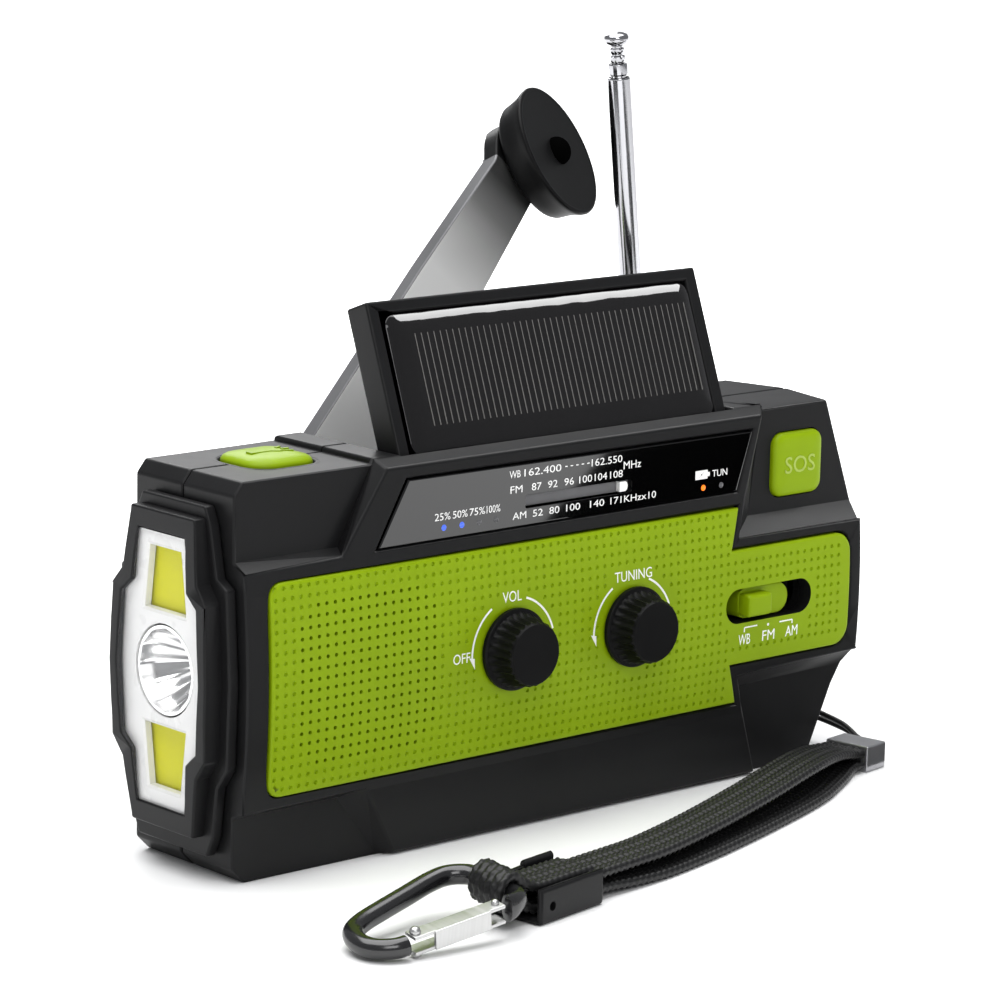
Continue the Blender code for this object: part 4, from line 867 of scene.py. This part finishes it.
def make_dial_print():
    shape = bmesh.new()
    rows = ((70.1, 1.5, (("WB", -17.0, 2.85), ("162.400", -13.2, 9.6), ("162.550", 4.4, 8.2))),
            (68.55, 1.65, (("MHz", 13.0, 4.7),)),
            (67.1, 1.5, (("FM", -16.7, 3.1), ("87", -11.2, 2.5), ("92", -7.0, 2.5), ("96", -2.7, 2.5),
                         ("100", 1.2, 3.4), ("104", 5.3, 3.3), ("108", 9.4, 3.4))),
            (61.9, 1.45, (("AM", -16.0, 3.5), ("52", -10.8, 2.6), ("80", -6.5, 2.6), ("100", -2.1, 3.7),
                          ("140", 4.2, 3.8), ("171KHzx10", 9.65, 12.35))),
            (64.25, 1.45, (("TUN", 37.5, 4.2),)),
            (64.0, 1.5, (("25%", -35.7, 3.9), ("50%", -31.2, 3.7), ("75%", -27.0, 3.9),
                         ("100%", -22.7, 3.5))))
    for base, cap, words in rows:
        for text, left, width in words:
            add_letters(shape, text, left, base, width, cap, front_of_window)
    for i in range(5):
        x = -2.6 + 1.45 * i
        add_flat(shape, [(x, 70.75), (x + 0.65, 70.75), (x + 0.65, 70.95), (x, 70.95)], front_of_window)
    battery = [(32.8, 64.1), (36.2, 64.1), (36.2, 64.55), (36.8, 64.55), (36.8, 65.4), (36.2, 65.4),
               (36.2, 65.9), (32.8, 65.9)]
    add_flat(shape, battery, front_of_window)
    placed(finished("dial_print", shape, INK, weighted=False), "case", "pointer_white")
    bolt = bmesh.new()
    zigzag = [(33.5, 64.35), (34.75, 65.05), (34.35, 65.1), (35.5, 65.65), (34.3, 65.0), (34.7, 64.95)]
    add_flat(bolt, zigzag, front_of_window, 0.035)
    placed(finished("battery_bolt", bolt, GLOSS, weighted=False), "case", "window_gloss")
    lamps = (("charge_light_1", -33.4, 62.5, LIT_BLUE), ("charge_light_2", -28.9, 62.5, LIT_BLUE),
             ("charge_light_3", -24.55, 62.5, UNLIT), ("charge_light_4", -20.25, 62.5, UNLIT),
             ("charging_light", 35.1, 62.3, LIT_ORANGE), ("tuned_light", 40.1, 62.3, UNLIT))
    dome = [(0.62, 0.0), (0.6, 0.05), (0.45, 0.12), (0.2, 0.16), (0.02, 0.17)]
    for name, x, z, look in lamps:
        light = turned(name, (x, WINDOW_FACE + 0.02, z), (0, -1, 0), dome, look, 20)
        placed(light, "case", "window_gloss")


# ---- controls
def make_knobs():
    """A collar, a fluted skirt and a cap with a rounded rim."""
    flute_count = 26
    profile = [(7.6, 0.0), (8.1, 0.15), (8.1, 0.95), (7.85, 1.2), (7.35, 1.25), (7.3, 1.45), (7.1, 2.0),
               (6.75, 3.2), (6.6, 4.6), (6.5, 5.75), (6.35, 6.05), (6.2, 6.15), (5.95, 6.55), (5.7, 6.6),
               (0.3, 6.62)]
    depths = [0, 0, 0, 0, 0, 0.15, 0.5, 0.55, 0.55, 0.5, 0.2, 0, 0, 0, 0]
    for name, x, node in (("volume", VOLUME_X, "volume_knob"), ("tuning", TUNING_X, "tuning_knob")):
        flute = [(depth, flute_count) for depth in depths]
        knob = turned(f"{name}_knob_fluted", (x, KNOB_BASE_Y, KNOB_Z), (0, -1, 0), profile, KNOB,
                      flute_count * 8, flute=flute, smooth=42.0)
        placed(knob, name, "knob_black", node)


def make_buttons():
    edge = [(0.0, -4.6), (0.0, 0.0), (0.08, 0.35), (0.3, 0.7), (0.65, 0.95), (1.2, 1.12), (2.2, 1.22),
            (3.8, 1.28), (5.4, 1.3)]
    rings = rim(SOS, SOS_SIZE, edge, lambda a, b, h: Vector((a, -15.2 - h, b)), 2.6)
    placed(skinned("sos_button_cap", rings, GREEN, 50.0), "sos", "green_plastic", "sos_button")
    letters = bmesh.new()
    add_letters(letters, "SOS", SOS[0] - 4.3, SOS[1] - 1.75, 8.6, 3.6, lambda z: -16.45, 0.16)
    # The SOS letters take the lighter green: painted highlight.
    placed(finished("sos_letters", letters, LETTER_GREEN_PAINTED_HIGHLIGHT, 30.0, weighted=False), "sos", "green_plastic")
    edge = [(0.0, -3.0), (0.0, 0.0), (0.15, 0.4), (0.5, 0.8), (1.1, 1.12), (2.2, 1.42), (3.8, 1.62),
            (5.6, 1.72)]
    rings = rim(TORCH_BUTTON, TORCH_BUTTON_SIZE, edge, lambda a, b, h: Vector((a, b, DECK + h)), 4.5)
    placed(skinned("torch_button_cap", rings, GREEN, 50.0), "torch_switch", "green_plastic", "torch_button")
    icon = bmesh.new()
    handle = [(-4.2, -0.9), (0.2, -0.9), (1.6, -1.9), (2.6, -1.9), (2.6, 1.9), (1.6, 1.9), (0.2, 0.9),
              (-4.2, 0.9)]
    add_skin(icon, stacked(spun(handle, TORCH_BUTTON, 0), (DECK + 1.5, DECK + 1.86)))
    ray = [(3.4, -0.25), (5.2, -0.25), (5.2, 0.25), (3.4, 0.25)]
    for turn in (-24, 0, 24):
        add_skin(icon, stacked(spun(ray, TORCH_BUTTON, turn), (DECK + 1.3, DECK + 1.82)))
    placed(finished("torch_icon", icon, GREEN, 30.0), "torch_switch", "green_plastic")


def make_slider():
    x, z = SLOT
    shape = bmesh.new()
    outline = arc_points((x + 3.9, z), 3.2, -90, 90, 18)
    outline += [(x - 5.7, z + 3.2), (x - 6.8, z + 2.7), (x - 7.3, z + 1.6), (x - 7.3, z - 1.6),
                (x - 6.8, z - 2.7), (x - 5.7, z - 3.2)]
    levels = ((1.0, -12.8), (1.0, -17.85), (0.985, -18.1), (0.93, -18.25))
    add_skin(shape, [stacked(shrunk(outline, (x - 1.0, z), share), [y], upright)[0] for share, y in levels])
    levels = ((0.0, -17.9), (0.0, -20.6), (0.25, -21.05), (0.8, -21.3))
    add_skin(shape, rim((x - 3.7, z - 0.1), (6.8, 4.6), levels, upright, 0.6, 0.5, 0.2, 3))
    placed(finished("slider_tab", shape, GREEN, 30.0), "slider", "green_plastic", "band_slider")


# ---- torch
def lamp_rings(levels, middle, upward, tall, wide, narrow):
    """Rings at (inset, X) levels, wide towards the cup and narrow away from it."""
    rings = []
    for inset, x in levels:
        near, far = (middle + side * upward * (tall - inset) for side in (-1, 1))
        corners = ((inset - wide, near), (wide - inset, near), (narrow - inset, far), (inset - narrow, far))
        rings.append([Vector((x, y, z)) for y, z in corners])
    return rings


def make_torch():
    dressed("torch_bezel", SHELL, "case", "shell_black", 0.45, 3, 20.0, crisp=4.5)
    dressed("torch_lens", LENS, "case", "lens_clear", 0.15, 1, 20.0)
    dressed("torch_reflector_plate", WHITE, "case", "white_plastic", 0.12, 2, 30.0)
    steps = 16
    shares = [i / steps for i in range(steps + 1)]
    outer = [(8.5 - 4.6 * t ** 1.6, CUP_DEPTH * t) for t in shares]
    inner = [(8.0 - 5.2 * t ** 1.6, CUP_DEPTH * t) for t in shares]
    flute = [(0.0, 0)] * (steps + 1) + [(0.22, 12)] * (steps + 1)
    cup = turned("reflector_cup", (CUP_BASE, 0, TORCH_Z), (1, 0, 0), outer + inner[::-1], CHROME, 72, True,
                 flute=flute)
    placed(cup, "case", "cup_chrome", "torch_cup")
    dome = [(2.2, 0.0), (2.2, 1.4), (1.9, 1.9), (1.2, 2.25), (0.05, 2.4)]
    light = turned("torch_emitter", (-74.4, 0, TORCH_Z), (-1, 0, 0), dome, YELLOW, 32)
    placed(light, "case", "led_yellow", "torch_led")
    for name, node in (("cob_panel_top", "cob_led_top"), ("cob_panel_bottom", "cob_led_bottom")):
        low, high = (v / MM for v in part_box(node))
        upward = 1 if name.endswith("top") else -1
        middle = (low.z + high.z) / 2
        rings = lamp_rings(((0.0, -82.9), (0.0, -83.55), (0.25, -83.65)), middle, upward, 6.9, 7.3, 5.7)
        placed(skinned(name, rings, YELLOW), "case", "led_yellow", node)
        levels = ((0.0, -85.65), (0.45, -85.4), (0.55, -84.1), (0.0, -84.1))
        rings = lamp_rings(levels, middle, upward, 6.5, 6.8, 5.2)
        placed(skinned(name + "_frame", rings, WHITE, closed=True), "case", "white_plastic")


# ---- solar panel
def panel_turn():
    """From a point drawn on the closed panel to its place on the open one."""
    return (Matrix.Translation(PANEL_AXIS) @ Matrix.Rotation(PANEL_OPEN, 4, "X")
            @ Matrix.Translation(-PANEL_AXIS))


def make_solar_panel():
    dressed("solar_frame", SHELL, "solar", "shell_black", 0.55, 3, 25.0, crisp=4.5)
    turn = panel_turn()
    y, top = PANEL_AXIS.y, PANEL_AXIS.z + PANEL_THICK / 2
    low = Vector((PANEL_LEFT + 3.3, y + 1.3))
    high = Vector((PANEL_RIGHT - 3.3, y + PANEL_REACH - 2.9))
    levels = ((0.0, -1.5), (0.0, -0.1), (0.2, 0.1), (0.9, 0.46), (1.8, 0.8), (2.7, 1.0), (3.8, 1.1),
              (5.0, 1.15))

    def on_resin(a, b, height):
        """The resin thins out towards the panel's lower edge."""
        return turn @ Vector((a, b, top + height * min(1.0, 0.15 + (b - low.y) / 7)))
    rings = rim((low + high) / 2, high - low, levels, on_resin, 2.4, 0.35, 0.4)
    placed(skinned("solar_cell_resin", rings, CELL, smooth=60.0), "solar", "solar_cell", "solar_cell")
    lines = bmesh.new()
    count, first, last, half = 46, low.x + 5.9, high.x - 3.0, 0.085
    for i in range(count):
        x = first + (last - first) * i / (count - 1)
        add_box(lines, (x - half, low.y + 5.2, top + 1.02), (x + half, high.y - 4.3, top + 1.18), turn)
    placed(finished("solar_fingers", lines, FINGER, weighted=False), "solar", "solar_cell")
    dressed("reading_lamp", WHITE, "solar", "white_plastic", 0.35, 3)
    ribs = bmesh.new()
    lamp_face = PANEL_AXIS.z - PANEL_THICK / 2 - 0.2
    for i in range(32):
        x = -29.0 + 2.0 * i
        low, high = (x - 0.35, y + 15.2, lamp_face - 0.05), (x + 0.35, y + 22.8, lamp_face + 0.1)
        add_box(ribs, low, high, turn, edge=0.2)
    placed(finished("reading_lamp_ribs", ribs, WHITE), "solar", "white_plastic")


# ---- antenna
def make_antenna():
    lean = Matrix.Translation(ANTENNA) @ Matrix.Rotation(ANTENNA_LEAN, 4, "Y")
    axis = (lean.to_3x3() @ Vector((0, 0, 1))).normalized()

    def tube(name, body, profile, node):
        made = turned(name, ANTENNA, axis, profile, ANTENNA_CHROME, 48, smooth=40.0)
        placed(made, body, "antenna_chrome", node)
    shape = bmesh.new()
    barrel = [(0.3, 0.0), (2.9, 0.0), (3.25, 0.15), (3.4, 0.5), (3.4, 3.7), (3.25, 4.05), (2.9, 4.2),
              (0.3, 4.2)]
    add_skin(shape, turned_rings((ANTENNA.x, 16.9, ANTENNA.z), (0, 1, 0), barrel, 40))
    outer = [(1.6, 1.0), (2.0, 1.6), (2.1, 5.0), (2.35, 6.0), (2.35, 76.2), (2.2, 76.55), (1.97, 76.6),
             (1.97, 70.0)]
    add_skin(shape, turned_rings(ANTENNA, axis, outer, 48))
    lower = finished("antenna_lower", shape, ANTENNA_CHROME, 40.0)
    placed(lower, "antenna_1", "antenna_chrome", "antenna_section_1")
    tube("antenna_middle", "antenna_2", [(0.4, 8.4), (1.65, 8.4), (1.65, 77.0), (1.95, 77.3), (1.95, 79.2),
                                         (1.8, 79.4), (1.3, 79.4), (1.3, 70.0)], "antenna_section_2")
    tube("antenna_tip", "antenna_3",
         [(0.3, 9.4), (0.95, 9.4), (0.95, 79.6), (1.5, 79.8), (1.6, 80.1), (1.6, 80.9), (1.25, 81.2),
          (1.25, 81.5), (1.5, 81.8), (1.5, 82.5), (1.2, 82.8), (1.25, 83.1), (1.8, 83.4), (2.35, 83.8),
          (2.5, 84.3), (2.5, 84.9), (2.25, 85.4), (1.5, 85.75), (0.3, 85.9)],
         "antenna_section_3")
    dressed("antenna_base", ANTENNA_CHROME, "case", "antenna_chrome", 0.3, 2)


# ---- crank
def make_crank():
    along = Vector((math.cos(CRANK_TURN), 0, math.sin(CRANK_TURN)))
    back = Vector((0, 1, 0))
    tip = along * math.cos(CRANK_BEND) + back * math.sin(CRANK_BEND)
    out = along * math.sin(CRANK_BEND) - back * math.cos(CRANK_BEND)
    across = Vector((-math.sin(CRANK_TURN), 0, math.cos(CRANK_TURN)))
    root = Vector((CRANK[0], CRANK_FRONT, CRANK[1]))
    seat = root + along * CRANK_REACH + tip * CRANK_TIP - across * CRANK_SIDE
    # The arm's colour ramp carries painted light near its root.
    arm = dressed("crank_arm", ARM_TONE_AND_PAINTED_LIGHT, "crank_arm", "crank_black", 0.5, 3, 30.0)
    arm.data.materials.append(ARM_SIDE_PAINTED_SHADE)
    arm.data.materials.append(KNOB)
    # Faces past the arm's reach take the knob's black. Side faces take the darker grey, a painted shade.
    for face in arm.data.polygons:
        if (face.center / MM - root).dot(along) > CRANK_REACH + 0.5:
            face.material_index = 2
        elif abs(face.normal.dot(across)) > 0.5:
            face.material_index = 1
    dressed("crank_hub", SHELL, "crank", "crank_black", 0.5, 3, 40.0)
    grip = [(1.7, 0.4), (11.6, 0.4), (12.2, 0.7), (12.7, 1.4), (13.0, 3.0), (13.4, 4.6), (13.9, 5.8),
            (14.25, 6.5), (14.35, 6.95), (14.25, 7.25), (13.95, 7.42), (13.5, 7.4), (13.2, 7.3), (3.2, 7.2),
            (2.85, 7.1), (2.8, 6.6), (2.8, 5.4), (1.7, 5.3)]
    knob = turned("crank_knob_turned", seat, out, grip, KNOB, 96, True, smooth=50.0)
    placed(knob, "crank_grip", "crank_black", "crank_knob")
    turns = [math.radians(angle) for angle in range(0, 91, 15)]
    dome = [(0.05 + 3.0 * math.cos(turn), 7.1 + 2.6 * math.sin(turn)) for turn in turns]
    pin = [(0.05, -CRANK_THICK), (1.3, -CRANK_THICK), (1.3, 5.5), (2.45, 5.5), (2.45, 7.1), *dome]
    rivet = turned("crank_knob_rivet", seat, out, pin, PIN_BLACK, 32)
    placed(rivet, "crank_arm", "crank_black", "crank_knob_pin")


# ---- back and inside
def make_back():
    dressed("port_cover", RUBBER, "port_flap", "cover_rubber", 0.3, 3, 30.0)
    pull = bmesh.new()
    add_box(pull, (54.0, 18.4, 38.4), (64.0, 19.1, 40.4))
    bmesh.ops.bevel(pull, geom=list(pull.edges), offset=0.3 * MM, segments=2, profile=0.6, affect="EDGES")
    placed(finished("port_cover_lip", pull, RUBBER), "port_flap", "cover_rubber")
    head = [(0.9, 0.45), (2.0, 0.45), (2.45, 0.3), (2.6, 0.0), (2.6, -0.8), (1.2, -1.0), (1.2, -10.8),
            (0.2, -10.9)]
    slot = [(-1.6, -0.28), (1.6, -0.28), (1.6, 0.28), (-1.6, 0.28)]
    levels = (REAR_FACE + 0.3, REAR_FACE + 0.49)
    for i, (x, z) in enumerate(((-73.5, 7.0), (-73.5, 70.0), (61.6, 6.6), (74.8, 52.5))):
        screw = bmesh.new()
        add_skin(screw, turned_rings((x, REAR_FACE, z), (0, 1, 0), head, 32))
        for turn in (17.19, 107.19):
            add_skin(screw, stacked(spun(slot, (x, z), turn), levels, upright), look=1)
        made = finished(f"screw_{i + 1}_driven", screw, [STEEL, SHELL])
        placed(made, "case", "steel", f"cover_screw_{i + 1}")
    ribs = bmesh.new()
    for i in range(9):
        z = 22.0 + 3.4 * i
        add_box(ribs, (4.0, HOUSING_FACE, z - 0.5), (34.0, HOUSING_FACE + 0.55, z + 0.5))
    bmesh.ops.bevel(ribs, geom=list(ribs.edges), offset=0.2 * MM, segments=2, profile=0.5, affect="EDGES")
    placed(finished("housing_ribs", ribs, SHELL), "case", "shell_black")


INNER = ((WRAP, "battery"), (FERRITE, "ferrite_rod"), (BOARD, "main_board"), (PAPER, "speaker_cone"),
         (WHITE, "tuning_capacitor"), (KNOB, "band_switch siren speaker_magnet"),
         (GEAR, "generator_pinion idler_gear drive_gear"),
         (STEEL,
          "generator speaker_basket tuning_shaft usb_socket volume_control volume_shaft crank_fold_pin"))


def dress_inner():
    for look, names in INNER:
        for name in names.split():
            mesh = NODES[name].data
            mesh.materials.clear()
            mesh.materials.append(look)


for make in (make_case, make_grille, make_window, make_control_print, make_dial_print, make_knobs,
             make_buttons, make_slider, make_torch, make_solar_panel, make_antenna, make_crank, make_back,
             dress_inner):
    make()


# ---- floor and light
def make_floor():
    """White paper that glows away from the object, so that the picture's edges are plain white."""
    made, nodes, links, shader = blank("floor_paper")
    coords = nodes.new("ShaderNodeTexCoord").outputs["Object"]
    clouds = noise(nodes, links, 3.0, coords, Detail=2.0)
    links.new(clouds, ramped(nodes, links, shader, ((0.0, [0.90] * 3), (1.0, [0.93] * 3))))
    shader.inputs["Roughness"].default_value = 0.9
    shader.inputs["Specular IOR Level"].default_value = 0.05
    distance = nodes.new("ShaderNodeVectorMath")
    distance.operation = "LENGTH"
    links.new(coords, distance.inputs[0])
    glow_starts, glow_full, glow = 0.14, 0.6, 0.9
    emission = shader.inputs["Emission Strength"]
    ranged(nodes, links, distance.outputs["Value"], emission, 0.0, glow, glow_starts, glow_full)
    shader.inputs["Emission Color"].default_value = (1.0, 1.0, 1.0, 1.0)
    shape = bmesh.new()
    bmesh.ops.create_grid(shape, x_segments=1, y_segments=1, size=6.0)
    floor = finished("floor", shape, made, weighted=False)


def area_light(name, place, target, size, power):
    light = bpy.data.lights.new(name, "AREA")
    light.shape = "RECTANGLE"
    light.size, light.size_y = size
    light.energy = power
    made = bpy.data.objects.new(name, light)
    made.location = place
    made.rotation_euler = (Vector(target) - Vector(place)).to_track_quat("-Z", "Y").to_euler()
    made.visible_camera = False
    SCENE.collection.objects.link(made)
    return made


def sector(start, end, near, far):
    """An outline on the floor: part of a ring round the antenna, between two directions."""
    turns = [math.radians(start + (end - start) * i / 12) for i in range(13)]
    ring = [(turn, near) for turn in turns] + [(turn, far) for turn in reversed(turns)]
    return [(ANTENNA.x + reach * math.cos(turn), ANTENNA.y + reach * math.sin(turn)) for turn, reach in ring]


def make_lights():
    world = bpy.data.worlds.new("studio")
    world.use_nodes = True
    world.node_tree.nodes["Background"].inputs["Color"].default_value = (0.95, 0.97, 1.0, 1.0)
    world.node_tree.nodes["Background"].inputs["Strength"].default_value = 0.32
    SCENE.world = world
    area_light("overhead", (-0.05, 0.15, 1.1), (0, 0, 0), (1.5, 1.2), 23.0)
    area_light("front_left", (-0.55, -0.95, 0.75), (0, 0, 0.04), (0.6, 0.5), 4.0)
    side = area_light("right_side", (0.9, -0.5, 0.25), (0.05, 0, 0.03), (0.5, 0.4), 2.0)
    side.visible_glossy = False
    edge = area_light("edge_gleam", (0.97, -0.22, 1.07), (0.02, 0, 0.08), (0.5, 0.45), 9.0)
    edge.visible_diffuse = False
    gleaming = bpy.data.collections.new("gleaming")
    for name in ("solar_cell_resin", "front_cover_detail"):
        gleaming.objects.link(bpy.data.objects[name])
    edge.light_linking.receiver_collection = gleaming
    area_light("back_rim", (0.5, 0.9, 0.6), (0, 0, 0.05), (0.5, 0.4), 3.0)
    # Black cards seen only in reflections: painted dark reflections on the glossy faces, such as the window,
    # the case's front faces and the clip. They cast no shadow, give no diffuse light and are hidden from the
    # camera.
    cards = (("dark_card_left", sector(165, 214, 450, 1000)),
             ("dark_card_right", sector(262, 303, 500, 1000)), ("dark_card_clip", [(72, -32), (130, -22),
                                                                                   (150, -80), (60, -90)]),
             ("dark_card_front", [(-60, -100), (150, -90), (230, -150), (140, -185), (-20, -185)]),
             ("dark_card_window", [(107, -170), (191, -236), (275, -302), (359, -368), (620, -368),
                                   (560, -120)]))
    for name, outline in cards:
        card, *_, shader = blank(name)
        shader.inputs["Base Color"].default_value = (0.004, 0.004, 0.004, 1.0)
        shader.inputs["Specular IOR Level"].default_value = 0.0
        shape = bmesh.new()
        shape.faces.new([shape.verts.new((x * MM, y * MM, 0.001)) for x, y in outline])
        made = finished(name, shape, card, weighted=False)
        made.visible_camera = made.visible_shadow = made.visible_diffuse = False


make_floor()
make_lights()
